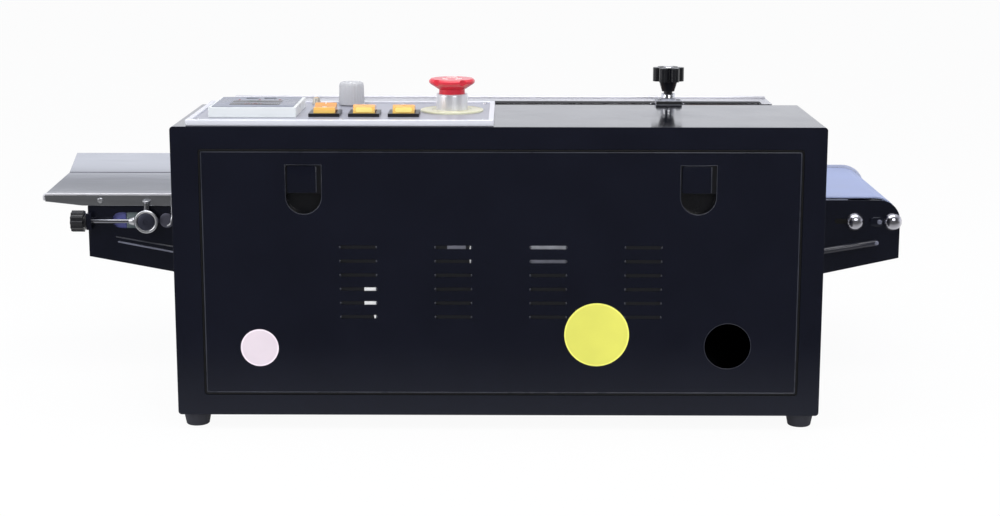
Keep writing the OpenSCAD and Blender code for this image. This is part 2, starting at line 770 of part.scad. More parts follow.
// Carries the upper pressure wheel on its pin, reaches up beside the band and over it,
// and holds the end of the pressure screw in a socket
module pressure_yoke() {
    z = seal_z + press_z;
    far = band_y + band_w + 2 * gap;
    color("#9a9ca4") place() difference() {
        union() {
            span([press_x - yoke_w / 2, head_y + gap, yoke_top - yoke_t], [press_x + yoke_w / 2, far + yoke_arm_t, yoke_top]);
            span([press_x - yoke_w / 2, far, z - shaft_r - 1], [press_x + yoke_w / 2, far + yoke_arm_t, yoke_top]);
            y_rod(press_x, band_y + gap, z, shaft_r, far - band_y);
            translate([press_x, rod_y, yoke_top]) cylinder(r = socket_r, h = socket_h);
        }
        translate([press_x, rod_y, yoke_top + 0.5]) cylinder(r = screw_r + run, h = socket_h);
    }
}

// The bracket on the head plate that holds the pressure screw's thread
module pressure_bracket() {
    color("#16171b") place() difference() {
        union() {
            span([press_x - 12, casing_d, head_top + 2], [press_x + 12, head_y, bracket_z + bracket_t]);
            span([press_x - 12, casing_d, bracket_z], [press_x + 12, guard_near_y - 0.5, bracket_z + bracket_t]);
            translate([press_x, rod_y, bracket_z + bracket_t]) cylinder(r = 5.5, h = 6);
        }
        translate([press_x, rod_y, bracket_z - 1]) cylinder(r = screw_r + run, h = bracket_t + 8);
    }
}

// The chromed screw and its six-lobed star knob
module pressure_screw() {
    color("#16171b") place() translate([press_x, rod_y, 0]) {
        translate([0, 0, yoke_top + 0.8]) cylinder(r = screw_r, h = star_z - yoke_top);
        translate([0, 0, star_z - 9.5]) cylinder(r1 = star_hub_r - 3, r2 = star_hub_r, h = 10);
        translate([0, 0, star_z]) linear_extrude(star_h) union() {
            circle(star_r - 5);
            for (i = [0 : 5]) rotate(i * 60) translate([star_r - 4.5, 0]) circle(4.5);
        }
    }
}

// Blocks above and below the seal line, each on two guide pins from the head plate
module head_block(x, l, side) {
    z = seal_z + side * (band_gap + band_t + gap);
    low = side > 0 ? z : z - block_h;
    span([x - l / 2, band_y + 0.5, low], [x + l / 2, band_y + band_w - 0.5, low + block_h]);
    for (dx = [-1, 1]) y_rod(x + dx * l / 3, head_y, low + block_h / 2, 3, 0.5);
}

module heater_blocks() {
    color("#b98a4c") place() for (side = [-1, 1]) head_block(heater_x, heater_l, side);
}

// Cooling blocks, with slots between their fins on the side away from the seal
module cooling_blocks() {
    color("#c4c8ce") place() for (side = [-1, 1]) difference() {
        head_block(cooler_x, cooler_l, side);
        for (i = [-4 : 4]) span([cooler_x + i * 9 - 2, band_y + 1, seal_z + side * (block_h / 2 + 5) - block_h / 4],
                                [cooler_x + i * 9 + 2, band_y + band_w, seal_z + side * (block_h / 2 + 5) + block_h / 4]);
    }
}

module seal_bands() {
    color("#6b4a33") place() for (side = [-1, 1])
        belt_loop([[-wheel_x, seal_z + side * wheel_z, wheel_r + gap], [wheel_x, seal_z + side * wheel_z, wheel_r + gap]],
            band_t, band_y + 1.3, band_w - 1);
}

module guide_belts() {
    color("#24262c") place() for (side = [-1, 1])
        belt_loop([[-wheel_x, seal_z + side * wheel_z, pulley_r + gap], [wheel_x, seal_z + side * wheel_z, pulley_r + gap]],
            guide_belt_t, guide_y, guide_belt_w);
}

// Upper and lower guards in bent sheet, with the posts that carry them
module guards() {
    w = guard_w / 2;
    low_z = head_low - 1;
    color("#d6d5dd") place() {
        difference() {
            span([-w, guard_near_y, seal_z + guard_edge], [w, guard_far_y, guard_top_z]);
            span([-w + sheet, guard_near_y - 1, seal_z + guard_edge - 1], [w - sheet, guard_far_y - sheet, guard_top_z - sheet]);
            span([press_x - yoke_w / 2 - 2, guard_near_y - 1, seal_z], [press_x + yoke_w / 2 + 2, guard_near_y + 10, guard_top_z + 1]);
        }
        difference() {
            span([-w, guard_near_y, low_z - sheet], [w, guard_low_y, seal_z - guard_edge]);
            span([-w + sheet, guard_near_y - 1, low_z], [w - sheet, guard_low_y - sheet, seal_z]);
        }
        for (x = [-1, 0, 1]) {
            y_rod(x * guard_post_x + (x == 0 ? cooler_x - 55 : 0), head_y, seal_z + wheel_z, guard_post_r, guard_far_y - sheet - head_y);
            y_rod(x * guard_post_x + (x == 0 ? cooler_x - 55 : 0), head_y, seal_z - wheel_z, guard_post_r, guard_low_y - sheet - head_y);
        }
    }
}

// ---- Conveyor ----

// Outline of a side plate: deep in the middle for the drum, shallow at its ends
module plate_outline() {
    r = 20;
    difference() {
        union() {
            polygon([[-plate_left, plate_end_z], [-315, plate_bend_z], [-240, plate_foot_z], [240, plate_foot_z],
                [315, plate_bend_z], [plate_right, plate_end_z],
                [plate_right, plate_top_z - r], [plate_right - r, plate_top_z],
                [-plate_left + 6, plate_top_z], [-plate_left, plate_top_z - 7.5]]);
            translate([plate_right - r, plate_top_z - r]) circle(r);
        }
        hull() for (x = [0, slot_reach]) translate([-infeed_x - x + tension_travel, roller_z]) circle(slot_r + gap);
    }
}

// The lug at a plate's infeed end, through which the tension screw passes
module tension_lug(y0) {
    difference() {
        span([-plate_left, y0, roller_z - 8], [-plate_left + 5, y0 + ring_t + 3, roller_z + 8]);
        translate([-plate_left - 1, y0 + (ring_t + 3) / 2, roller_z]) rotate([0, 90, 0])
            cylinder(r = tension_rod_r + run, h = 8);
    }
}

module side_plate(y0, lug_y) {
    difference() {
        y_sheet(y0, plate_t) plate_outline();
        y_rod(drum_x, y0 - 1, drum_z, shaft_r + run, plate_t + 2);
        for (side = [-1, 1]) y_rod(drum_x + side * snub_dx, y0 - 1, snub_z, 3, plate_t + 2);
        y_rod(outfeed_x, y0 - 1, roller_z, axle_end_r, plate_t + 2);
    }
    tension_lug(lug_y);
}

module near_side_plate() {
    color("#16181f") place() side_plate(plate_y, plate_y - ring_t - 3);
}

module far_side_plate() { color("#16181f") place() side_plate(far_plate_y, far_y); }

// A washer with a domed nut on it, which points along +Y or -Y
module dome_nut(x, y, way) {
    translate([x, y, roller_z]) rotate([way * -90, 0, 0]) {
        cylinder(r = dome_r, h = dome_washer);
        translate([0, 0, dome_washer]) rotate_extrude()
            intersection() { translate([0, -1.5]) circle(dome_r - 1); square([dome_r, dome_h - dome_washer]); }
    }
}

// Bed below the carrying run, tie rods, snub bars, the outfeed axle, cross beams and the legs
// that clamp the arms, with the nuts that hold the outfeed roller's bearings
module conveyor_frame() {
    inner = plate_y + plate_t;
    color("#9da1a8") place() {
        span([-infeed_x + roller_r + tension_travel + 4, inner, roller_z + roller_r - 3], [outfeed_x - roller_r - 4, far_plate_y, roller_z + roller_r - 0.5]);
        for (x = [-200, 240]) y_rod(x, inner, roller_z - 3, axle_r, far_plate_y - inner);
        for (side = [-1, 1]) {
            y_rod(drum_x + side * snub_dx, plate_y, snub_z, 3, far_y - plate_y);
            y_rod(drum_x + side * snub_dx, belt_y, snub_z, snub_r, belt_w);
        }
        y_rod(outfeed_x, inner, roller_z, axle_r, far_plate_y - inner);
        y_rod(outfeed_x, plate_y - 1, roller_z, axle_end_r, far_y + 2 - plate_y);
        for (x = nut_x) {
            dome_nut(x, plate_y, -1);
            dome_nut(x, far_y, 1);
        }
        for (x = [-1, 1]) {
            span([x * arm_x - arm_w / 2, inner, beam_z], [x * arm_x + arm_w / 2, far_plate_y, beam_z + beam_h]);
            difference() {
                span([x * arm_x - arm_w / 2 - 6, leg_y, board_z + 1], [x * arm_x + arm_w / 2 + 6, leg_y + leg_l, beam_z]);
                span([x * arm_x - arm_w / 2 - 0.1, leg_y - 1, board_z], [x * arm_x + arm_w / 2 + 0.1, leg_y + leg_l + 1, board_z + arm_w + 0.1]);
            }
        }
    }
}

module conveyor_belt() {
    snub = -(snub_r + gap + belt_t);
    color("#b2bce4") place() belt_loop([[-infeed_x, roller_z, roller_r + gap], [drum_x - snub_dx, snub_z, snub],
        [drum_x, drum_z, drum_r + gap], [drum_x + snub_dx, snub_z, snub], [outfeed_x, roller_z, roller_r + gap]],
        belt_t, belt_y, belt_w);
}

module outfeed_roller() {
    color("#c4c8ce") place() y_ring(outfeed_x, belt_y, roller_z, roller_r, axle_r + run, belt_w);
}

module infeed_roller() {
    color("#c4c8ce") place() y_ring(-infeed_x, belt_y, roller_z, roller_r, slot_r + run, belt_w);
}

// The infeed roller's axle, and the rings that pull on its ends
module tension_axle() {
    color("#dfe2e6") place() {
        y_rod(-infeed_x, plate_y - ring_t - 2, roller_z, slot_r, far_y - plate_y + 2 * ring_t + 4);
        for (y0 = [plate_y - ring_t - 1.5, far_y + 1.5]) {
            difference() {
                y_rod(-infeed_x, y0, roller_z, ring_r, ring_t);
                y_rod(-infeed_x, y0 - 1, roller_z, slot_r, ring_t + 2);
                translate([-infeed_x - 20, y0 + ring_t / 2, roller_z]) rotate([0, 90, 0]) cylinder(r = tension_rod_r + run, h = 20);
            }
            translate([-infeed_x, y0 + ring_t / 2, roller_z + ring_r - 0.5]) cylinder(r = 2.5, h = 7);
        }
    }
}

// A tension screw: a knob outside the lug and a rod that ends in the ring
module tension_screw(y) {
    color("#16171b") place() translate([-infeed_x - slot_r - 0.4, y, roller_z]) rotate([0, -90, 0]) {
        cylinder(r = tension_rod_r, h = plate_left - infeed_x - slot_r);
        translate([0, 0, plate_left - infeed_x - slot_r]) cylinder(r = 6, h = tension_neck_l);
        translate([0, 0, plate_left - infeed_x - slot_r + tension_neck_l]) linear_extrude(tension_knob_l) union() {
            circle(tension_knob_r - 1);
            for (i = [0 : 11]) rotate(i * 30) translate([tension_knob_r - 1.6, 0]) circle(1.6);
        }
    }
}

module tension_screw_near() { tension_screw(plate_y - ring_t / 2 - 1.5); }
module tension_screw_far() { tension_screw(far_y + ring_t / 2 + 1.5); }

module drive_drum() {
    color("#c4c8ce") place() {
        y_rod(drum_x, gear_y - 10, drum_z, shaft_r, far_y - gear_y + 10);
        y_ring(drum_x, belt_y, drum_z, drum_r, shaft_r + seat, belt_w);
    }
}

// Plan of the tray, which narrows towards its far edge
module tray_plan() {
    polygon([[-tray_left, tray_y - 1], [-tray_right, tray_y - 1], [-tray_right, tray_far_y + 1],
        [-tray_left + 5, tray_far_y + 1], [-tray_left + 2, tray_y + tray_reach], [-tray_left, tray_y + 2]]);
}

// Stainless infeed tray: a lip down the side plate, a rising face and an upturned far edge
module tray() {
    t = tray_t;
    inner = [[tray_y + t, tray_lip_z], [tray_y + t, tray_edge_z - t], [tray_y + tray_reach + 0.4, tray_bend_z - t],
        [tray_far_y + 0.9, tray_top_z - t]];
    outer = [[tray_y, tray_lip_z], [tray_y, tray_edge_z], [tray_y + tray_reach, tray_bend_z], [tray_far_y, tray_top_z]];
    color("#b4b6bc") place() difference() {
        intersection() {
            translate([-tray_left, 0, 0]) rotate([90, 0, 90]) linear_extrude(tray_left - tray_right)
                polygon(concat(inner, [for (i = [3 : -1 : 0]) outer[i]]));
            translate([0, 0, tray_lip_z - 1]) linear_extrude(tray_top_z - tray_lip_z + 2) tray_plan();
        }
        y_sheet(tray_y - 1, t + 2) polygon([[-tray_left - 1, tray_lip_z - 1], [-tray_left + 45, tray_lip_z - 1],
            [-tray_left - 1, tray_lip_z + 4]]);
    }
}

casing_shell();
base_plate();
front_wall();
back_panel();
finger_pulls();
rubber_feet();
support_arms();
panel_frame();
panel_plate();
controller_case();
controller_key_up();
controller_key_down();
switch_housings();
rocker_1();
rocker_2();
rocker_3();
speed_pot();
speed_knob();
indicator_lamp();
estop_base();
estop_stem();
estop_head();
motor();
gearbox();
transformer();
circuit_board();
fan_housing();
fan_rotor();
head_plate();
shaft_bearings();
idler_axles();
output_hub();
drive_chain();
lower_shaft();
lower_drive_wheel();
upper_shaft();
upper_drive_wheel();
lower_idler();
upper_idler();
lower_press_wheel();
upper_press_wheel();
pressure_yoke();
pressure_bracket();
pressure_screw();
heater_blocks();
cooling_blocks();
seal_bands();
guide_belts();
guards();
near_side_plate();
far_side_plate();
conveyor_frame();
conveyor_belt();
outfeed_roller();
infeed_roller();
tension_axle();
tension_screw_near();
tension_screw_far();
drive_drum();
tray();
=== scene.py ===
"""Continuous band sealer: the finishes and the visible pieces, laid over the fixed frame."""
import json
import math

import bmesh
import bpy
from mathutils import Matrix, Vector
from mathutils.bvhtree import BVHTree


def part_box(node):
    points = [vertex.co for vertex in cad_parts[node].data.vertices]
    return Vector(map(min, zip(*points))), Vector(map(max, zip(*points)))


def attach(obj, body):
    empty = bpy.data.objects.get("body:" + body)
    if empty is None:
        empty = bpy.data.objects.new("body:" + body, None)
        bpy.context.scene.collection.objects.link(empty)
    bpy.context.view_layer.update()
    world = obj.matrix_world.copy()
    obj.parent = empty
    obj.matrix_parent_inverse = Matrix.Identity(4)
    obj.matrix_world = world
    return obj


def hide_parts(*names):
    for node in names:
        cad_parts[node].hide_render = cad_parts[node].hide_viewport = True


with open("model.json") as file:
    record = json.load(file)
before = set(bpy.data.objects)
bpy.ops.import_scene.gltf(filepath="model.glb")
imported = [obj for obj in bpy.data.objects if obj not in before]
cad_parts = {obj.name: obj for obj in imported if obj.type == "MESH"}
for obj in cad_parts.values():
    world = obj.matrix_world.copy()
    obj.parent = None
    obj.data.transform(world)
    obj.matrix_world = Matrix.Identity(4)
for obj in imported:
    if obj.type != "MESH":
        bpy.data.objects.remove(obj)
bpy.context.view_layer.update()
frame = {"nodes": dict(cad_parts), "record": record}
body_of = {node: body for body, nodes in frame["record"]["behaviour"]["bodies"].items() for node in nodes}
MM = 0.001
SOFTEN_FROM, ROUND_FROM = 40, 30  # degrees between two faces, from which their edge is rounded

# ---- Studio ----
# A white table and a white world. What gloss and metal mirror of the world is dimmer behind
# the camera than behind the machine, and has a grey band between the backdrop and the lamps.

camera_data = bpy.data.cameras.new("studio_camera")
camera_data.lens = 65.60
camera_data.sensor_width = 36
camera_data.shift_y = -0.03
camera = bpy.data.objects.new("studio_camera", camera_data)
camera.location = (0.0362, -1.7382, 0.4715)
camera.rotation_euler = (math.radians(79.247), math.radians(-0.056), math.radians(0.333))
bpy.context.scene.collection.objects.link(camera)
bpy.context.scene.camera = camera
bpy.context.scene.view_settings.view_transform = "Standard"


def add_nodes(tree, *kinds):
    """Gives a node tree one new node of each kind, in that order."""
    return [tree.nodes.new(kind) for kind in kinds]


def set_inputs(node, **values):
    """Sets a node's inputs by name, with _ for each space in a name."""
    for name, value in values.items():
        node.inputs[name.replace("_", " ")].default_value = value


def join(tree, *links):
    """Links nodes. Each link is a node, its output, the next node and its input."""
    for start, output, end, socket in links:
        tree.links.new(start.outputs[output], end.inputs[socket])


world = bpy.data.worlds.new("studio_world")
bpy.context.scene.world = world
world.use_nodes = True
sky = world.node_tree
sky.nodes.clear()
sky_out, sky_mix, sky_light, sky_seen = add_nodes(
    sky, "ShaderNodeOutputWorld", "ShaderNodeMixShader", "ShaderNodeBackground", "ShaderNodeBackground")
sky_path, sky_any, sky_way, sky_split = add_nodes(
    sky, "ShaderNodeLightPath", "ShaderNodeMath", "ShaderNodeTexCoord", "ShaderNodeSeparateXYZ")
sky_ramp, sky_side, sky_rise = add_nodes(
    sky, "ShaderNodeMapRange", "ShaderNodeMapRange", "ShaderNodeValToRGB")
sky_level, sky_pick, sky_tint = add_nodes(sky, "ShaderNodeMath", "ShaderNodeMix", "ShaderNodeMix")
set_inputs(sky_light, Color=(0.93, 0.95, 1.0, 1), Strength=0.62)
sky_tint.data_type = "RGBA"
set_inputs(sky_tint, A=(1, 1, 1, 1), B=(0.93, 0.945, 1.0, 1))
sky_any.operation = "MAXIMUM"
set_inputs(sky_ramp, From_Min=-0.75, From_Max=0.15, To_Max=1.0)
set_inputs(sky_side, From_Min=-0.5, From_Max=0.5, To_Min=0.13, To_Max=0.07)
sky_level.operation = "MULTIPLY"
for place, level in ((0.0, 1.0), (0.24, 1.0), (0.33, 0.5), (0.6, 0.5), (0.8, 1.0)):
    stop = sky_rise.color_ramp.elements.new(place) if place else sky_rise.color_ramp.elements[0]
    stop.color = (level, level, level, 1)
sky_rise.color_ramp.elements[-1].color = (1, 1, 1, 1)
sky_pick.data_type = "FLOAT"
set_inputs(sky_pick, A=1.0)
join(sky, (sky_way, "Generated", sky_split, "Vector"), (sky_split, "Y", sky_ramp, "Value"),
     (sky_split, "X", sky_side, "Value"), (sky_split, "Z", sky_rise, "Fac"),
     (sky_side, "Result", sky_ramp, "To Min"), (sky_ramp, "Result", sky_level, 0),
     (sky_rise, "Color", sky_level, 1), (sky_level, "Value", sky_pick, "B"),
     (sky_path, "Is Glossy Ray", sky_pick, "Factor"), (sky_pick, "Result", sky_seen, "Strength"),
     (sky_path, "Is Glossy Ray", sky_tint, "Factor"), (sky_tint, "Result", sky_seen, "Color"),
     (sky_path, "Is Camera Ray", sky_any, 0), (sky_path, "Is Glossy Ray", sky_any, 1),
     (sky_any, "Value", sky_mix, "Fac"), (sky_light, "Background", sky_mix, 1),
     (sky_seen, "Background", sky_mix, 2), (sky_mix, "Shader", sky_out, "Surface"))


def add_lamp(name, place, aim, size, power):
    """A square soft box at place, turned towards aim."""
    lamp_data = bpy.data.lights.new(name, "AREA")
    lamp_data.shape = "RECTANGLE"
    lamp_data.size, lamp_data.size_y = size
    lamp_data.energy = power
    lamp = bpy.data.objects.new(name, lamp_data)
    lamp.location = place
    lamp.rotation_euler = (Vector(aim) - Vector(place)).to_track_quat("-Z", "Y").to_euler()
    bpy.context.scene.collection.objects.link(lamp)


add_lamp("soft_box_above", (0.1, -0.35, 1.6), (0, 0, 0.15), (1.8, 1.0), 15)
add_lamp("soft_box_left", (-1.6, -0.9, 0.9), (0, 0, 0.15), (0.9, 0.9), 9)
add_lamp("soft_box_front", (0.7, -2.0, 1.0), (0, 0, 0.15), (1.0, 0.7), 9)

floor_mesh = bmesh.new()
bmesh.ops.create_grid(floor_mesh, x_segments=1, y_segments=1, size=12)
floor_data = bpy.data.meshes.new("studio_floor")
floor_mesh.to_mesh(floor_data)
floor = bpy.data.objects.new("studio_floor", floor_data)
floor.location.z = -0.0002
bpy.context.scene.collection.objects.link(floor)
floor_paint = bpy.data.materials.new("studio_floor")
floor_paint.use_nodes = True
table = floor_paint.node_tree
table.nodes.clear()
table_out, table_mix, table_white, table_glow = add_nodes(
    table, "ShaderNodeOutputMaterial", "ShaderNodeMixShader", "ShaderNodeBsdfDiffuse", "ShaderNodeEmission")
table_path, table_place, table_split = add_nodes(
    table, "ShaderNodeLightPath", "ShaderNodeTexCoord", "ShaderNodeSeparateXYZ")
table_fade, table_pick, table_share = add_nodes(
    table, "ShaderNodeMapRange", "ShaderNodeMix", "ShaderNodeMath")
set_inputs(table_white, Color=(0.9, 0.9, 0.91, 1))
set_inputs(table_fade, From_Min=-0.5, From_Max=0.3, To_Min=0.12, To_Max=1.0)
table_pick.data_type = "FLOAT"
set_inputs(table_pick, A=1.0)
TABLE_GLOW = 0.94
table_share.operation = "MULTIPLY_ADD"
table_share.inputs[1].default_value = TABLE_GLOW
join(table, (table_place, "Object", table_split, "Vector"), (table_split, "Y", table_fade, "Value"),
     (table_fade, "Result", table_pick, "B"), (table_path, "Is Glossy Ray", table_pick, "Factor"),
     (table_pick, "Result", table_glow, "Strength"), (table_path, "Is Camera Ray", table_share, 0),
     (table_path, "Is Glossy Ray", table_share, 2), (table_share, "Value", table_mix, "Fac"),
     (table_white, "BSDF", table_mix, 1), (table_glow, "Emission", table_mix, 2),
     (table_mix, "Shader", table_out, "Surface"))
floor_data.materials.append(floor_paint)

# ---- Casing ----
# The casing is one bent steel sheet in gloss black enamel, with a base plate below it, a wall
# behind the sealing head and a lift-off panel at the service side.

MIDDLE = Vector((-26.1, 202.0, 0))
FACE, LEFT, UP = Vector((0, -1, 0)), Vector((-1, 0, 0)), Vector((0, 0, 1))
RIGHT, AWAY = -LEFT, -FACE


def at(x, y, z):
    """A place in metres, from one in mm that is measured from the foot of the service face's middle."""
    return (Vector((x, y, z)) - MIDDLE) * MM


def paint(red, green, blue):
    """A colour given as it shows, from 0 to 255, in the linear values that a shader takes."""
    return tuple(((level / 255 + 0.055) / 1.055) ** 2.4 if level > 10 else level / 255 / 12.92
                 for level in (red, green, blue)) + (1,)


def finish(name, colour, roughness, metal=0.0, coat=0.0, mottle=0.06, smear=0.05, stretch=(1, 1, 1),
           grain=900, bump=0.02, depth=0.0001, weave=0, **extra):
    """A finish with uneven colour, uneven gloss and a fine relief, all in the object's own space."""
    material = bpy.data.materials.new(name)
    material.use_nodes = True
    tree = material.node_tree
    shader = tree.nodes["Principled BSDF"]
    set_inputs(shader, Metallic=metal, Coat_Weight=coat, Coat_Roughness=0.05, **extra)
    place, stretched, cloud, tint, gloss, relief = add_nodes(
        tree, "ShaderNodeTexCoord", "ShaderNodeMapping", "ShaderNodeTexNoise", "ShaderNodeValToRGB",
        "ShaderNodeMapRange", "ShaderNodeBump")
    set_inputs(stretched, Scale=stretch)
    set_inputs(cloud, Scale=22, Detail=5)
    for stop, spot, share in zip(tint.color_ramp.elements, (0.3, 0.7), (1 - mottle, 1 + mottle)):
        stop.position = spot
        stop.color = tuple(min(1, c * share) for c in colour[:3]) + (1,)
    set_inputs(gloss, From_Min=0.3, From_Max=0.7, To_Min=max(0.02, roughness - smear),
               To_Max=roughness + smear)
    set_inputs(relief, Strength=bump, Distance=depth)
    join(tree, (place, "Object", stretched, "Vector"), (stretched, "Vector", cloud, "Vector"),
         (cloud, "Fac", tint, "Fac"), (tint, "Color", shader, "Base Color"),
         (cloud, "Fac", gloss, "Value"), (gloss, "Result", shader, "Roughness"),
         (relief, "Normal", shader, "Normal"))
    if weave:
        cross, *threads = add_nodes(tree, "ShaderNodeMath", "ShaderNodeTexWave", "ShaderNodeTexWave")
        cross.operation = "MULTIPLY"
        for i, thread in enumerate(threads):
            thread.bands_direction = "XY"[i]
            set_inputs(thread, Scale=weave, Distortion=0.6)
            join(tree, (place, "Object", thread, "Vector"), (thread, "Fac", cross, i))
        join(tree, (cross, "Value", relief, "Height"))
    else:
        fine = add_nodes(tree, "ShaderNodeTexNoise")[0]
        set_inputs(fine, Scale=grain, Detail=3)
        join(tree, (stretched, "Vector", fine, "Vector"), (fine, "Fac", relief, "Height"))
    return material


def add_piece(name, mesh, material, body, smooth=35):
    """Makes an object of a finished bmesh and lets it ride on a body of the frame."""
    bmesh.ops.recalc_face_normals(mesh, faces=mesh.faces)
    data = bpy.data.meshes.new(name)
    mesh.to_mesh(data)
    mesh.free()
    data.materials.append(material)
    data.shade_smooth()
    data.set_sharp_from_angle(angle=math.radians(smooth))
    piece = bpy.data.objects.new(name, data)
    bpy.context.scene.collection.objects.link(piece)
    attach(piece, body)
    return piece


def soften(node, material, width, segments=3):
    """Stands for a frame solid with a copy whose edges are rounded, as the real piece's are."""
    mesh = bmesh.new()
    mesh.from_mesh(frame["nodes"][node].data)
    bmesh.ops.remove_doubles(mesh, verts=mesh.verts, dist=2e-6)
    bmesh.ops.dissolve_limit(mesh, angle_limit=math.radians(1), verts=mesh.verts, edges=mesh.edges)
    piece = add_piece(node + "_finished", mesh, material, body_of[node])
    rounding = piece.modifiers.new("rounded edges", "BEVEL")
    rounding.limit_method = "ANGLE"
    rounding.angle_limit = math.radians(SOFTEN_FROM)
    rounding.width = width * MM
    rounding.segments = segments
    rounding.use_clamp_overlap = True
    rounding.harden_normals = True
    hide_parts(node)
    return piece


def dress(node, material):
    """Gives a frame solid its finish and leaves its shape."""
    solid = frame["nodes"][node]
    solid.data.materials.clear()
    solid.data.materials.append(material)


def round_edges(mesh, width):
    """Rounds every sharp edge of a bmesh."""
    limit = math.radians(ROUND_FROM)
    sharp = [edge for edge in mesh.edges if len(edge.link_faces) == 2 and edge.calc_face_angle() > limit]
    bmesh.ops.bevel(mesh, geom=sharp, offset=width * MM, offset_type="OFFSET", segments=3, profile=0.5,
                    affect="EDGES", material=-1, clamp_overlap=True)


def add_plate(name, outline, place, across, up, depth, width, material, body):
    """A flat piece: an outline in mm along across and up from place, given depth towards across x up."""
    mesh = bmesh.new()
    base = mesh.faces.new([mesh.verts.new(place + (across * u + up * v) * MM) for u, v in outline])
    grown = bmesh.ops.extrude_face_region(mesh, geom=[base])["geom"]
    bmesh.ops.translate(mesh, verts=[v for v in grown if isinstance(v, bmesh.types.BMVert)],
                        vec=across.cross(up) * depth * MM)
    bmesh.ops.recalc_face_normals(mesh, faces=mesh.faces)
    if width:
        round_edges(mesh, width)
    return add_piece(name, mesh, material, body)


def round_outline(width, height, radius, steps=6):
    """The outline of a rectangle about its middle, with rounded corners."""
    outline = []
    for corner, (x, y) in enumerate(((1, 1), (-1, 1), (-1, -1), (1, -1))):
        for i in range(steps + 1):
            turn = math.radians(90 * (corner + i / steps))
            outline.append((x * (width / 2 - radius) + radius * math.cos(turn),
                            y * (height / 2 - radius) + radius * math.sin(turn)))
    return outline


def disc_outline(radius, steps=64):
    """The outline of a disc."""
    return [(radius * math.cos(math.tau * i / steps), radius * math.sin(math.tau * i / steps))
            for i in range(steps)]


def add_turned(name, profile, place, way, material, body, steps=40, smooth=35):
    """A turned piece: (radius, height) pairs in mm, spun about the line from place along way."""
    mesh = bmesh.new()
    points = [mesh.verts.new((radius * MM, 0, height * MM)) for radius, height in profile]
    edges = [mesh.edges.new(pair) for pair in zip(points, points[1:])]
    bmesh.ops.spin(mesh, geom=points + edges, cent=(0, 0, 0), axis=(0, 0, 1), angle=math.tau, steps=steps,
                   use_merge=True)
    bmesh.ops.remove_doubles(mesh, verts=mesh.verts, dist=1e-6)
    turn = Matrix.Translation(place) @ way.to_track_quat("Z", "Y").to_matrix().to_4x4()
    bmesh.ops.transform(mesh, matrix=turn, verts=mesh.verts)
    return add_piece(name, mesh, material, body, smooth)


def add_sweep(name, points, radii, material, body, steps=10, closed=False):
    """A round bar along points, with a radius in mm at each: a ring is extruded from point to point."""
    mesh = bmesh.new()
    count, side, turns = len(points), None, []
    for i, point in enumerate(points):
        before = points[i - 1] if i or closed else point
        after = points[(i + 1) % count] if i < count - 1 or closed else point
        way = (after - before).normalized()
        side = way.orthogonal() if side is None else side
        side = (side - way * side.dot(way)).normalized()
        turn = Matrix((side, way.cross(side), way)).transposed().to_4x4()
        turns.append(Matrix.Translation(point) @ turn @ Matrix.Scale(radii[i] * MM, 4))
    first = bmesh.ops.create_circle(mesh, cap_ends=not closed, segments=steps, radius=1,
                                    matrix=turns[0])["verts"]
    loop = first_loop = [edge for edge in mesh.edges if all(v in first for v in edge.verts)]
    for last, turn in zip(turns, turns[1:]):
        grown = bmesh.ops.extrude_edge_only(mesh, edges=loop)["geom"]
        ring = {v for v in grown if isinstance(v, bmesh.types.BMVert)}
        loop = [edge for edge in grown if isinstance(edge, bmesh.types.BMEdge) and set(edge.verts) <= ring]
        bmesh.ops.transform(mesh, matrix=turn @ last.inverted(), verts=list(ring))
    if closed:
        bmesh.ops.bridge_loops(mesh, edges=loop + first_loop)
    else:
        bmesh.ops.contextual_create(mesh, geom=loop)
    return add_piece(name, mesh, material, body, smooth=50)


def blunt(radius, count, steps=4):
    """Radii for a bar of count points whose ends are round."""
    cap = [radius * math.sin(math.pi / 2 * (i + 0.4) / steps) for i in range(steps)]
    return cap + [radius] * (count - 2 * steps) + cap[::-1]


def between(start, end, radius, steps=4):
    """Points along a line whose first and last few make round ends of a bar of that radius, in mm."""
    way = (end - start).normalized()
    cap = [radius * (1 - math.cos(math.pi / 2 * i / steps)) * MM for i in range(steps)]
    return [start + way * c for c in cap] + [start.lerp(end, 0.5)] + [end - way * c for c in cap[::-1]]


def circle(centre, across, up, radius, steps):
    """Points on a circle in the plane of across and up, its radius in mm."""
    turns = [math.tau * i / steps for i in range(steps)]
    return [centre + (across * math.cos(turn) + up * math.sin(turn)) * radius * MM for turn in turns]


def add_screw(name, place, way, radius, body, material, height=1.6):
    """A pan-head screw with a small recess, standing on place and pointing along way."""
    shares = ((0, 0.55), (0.14, 0.55), (0.2, 0.98), (0.5, 1), (0.8, 0.86), (0.96, 0.5), (1, 0), (0, 0))
    profile = [(radius * out, height * up) for out, up in shares]
    return add_turned(name, profile, place, way, material, body, steps=24)


enamel = finish("black_enamel", (0.0036, 0.0042, 0.0102, 1), 0.15, coat=0.3, mottle=0.12, smear=0.035,
                grain=260, bump=0.05, depth=0.0002, Specular_Tint=(0.78, 0.84, 1.0, 1))
for node, width in (("casing_shell", 1.2), ("back_panel", 0.25), ("front_wall", 0.3), ("base_plate", 0.3),
                    ("support_arms", 1.2)):
    soften(node, enamel, width)
moulded_black = finish("black_plastic", paint(17, 18, 24), 0.3, mottle=0.1, grain=1500, bump=0.12)
soften("finger_pulls", moulded_black, 0.35)
rubber = finish("rubber_feet", paint(48, 49, 58), 0.7, mottle=0.15, smear=0.1, grain=2200, bump=0.35)
soften("rubber_feet", rubber, 1.2)
chrome = finish("chrome", paint(222, 223, 228), 0.09, metal=1.0, mottle=0.03, smear=0.04)
screw_steel = finish("screw_steel", paint(150, 152, 158), 0.3, metal=1.0, grain=1400, bump=0.1)

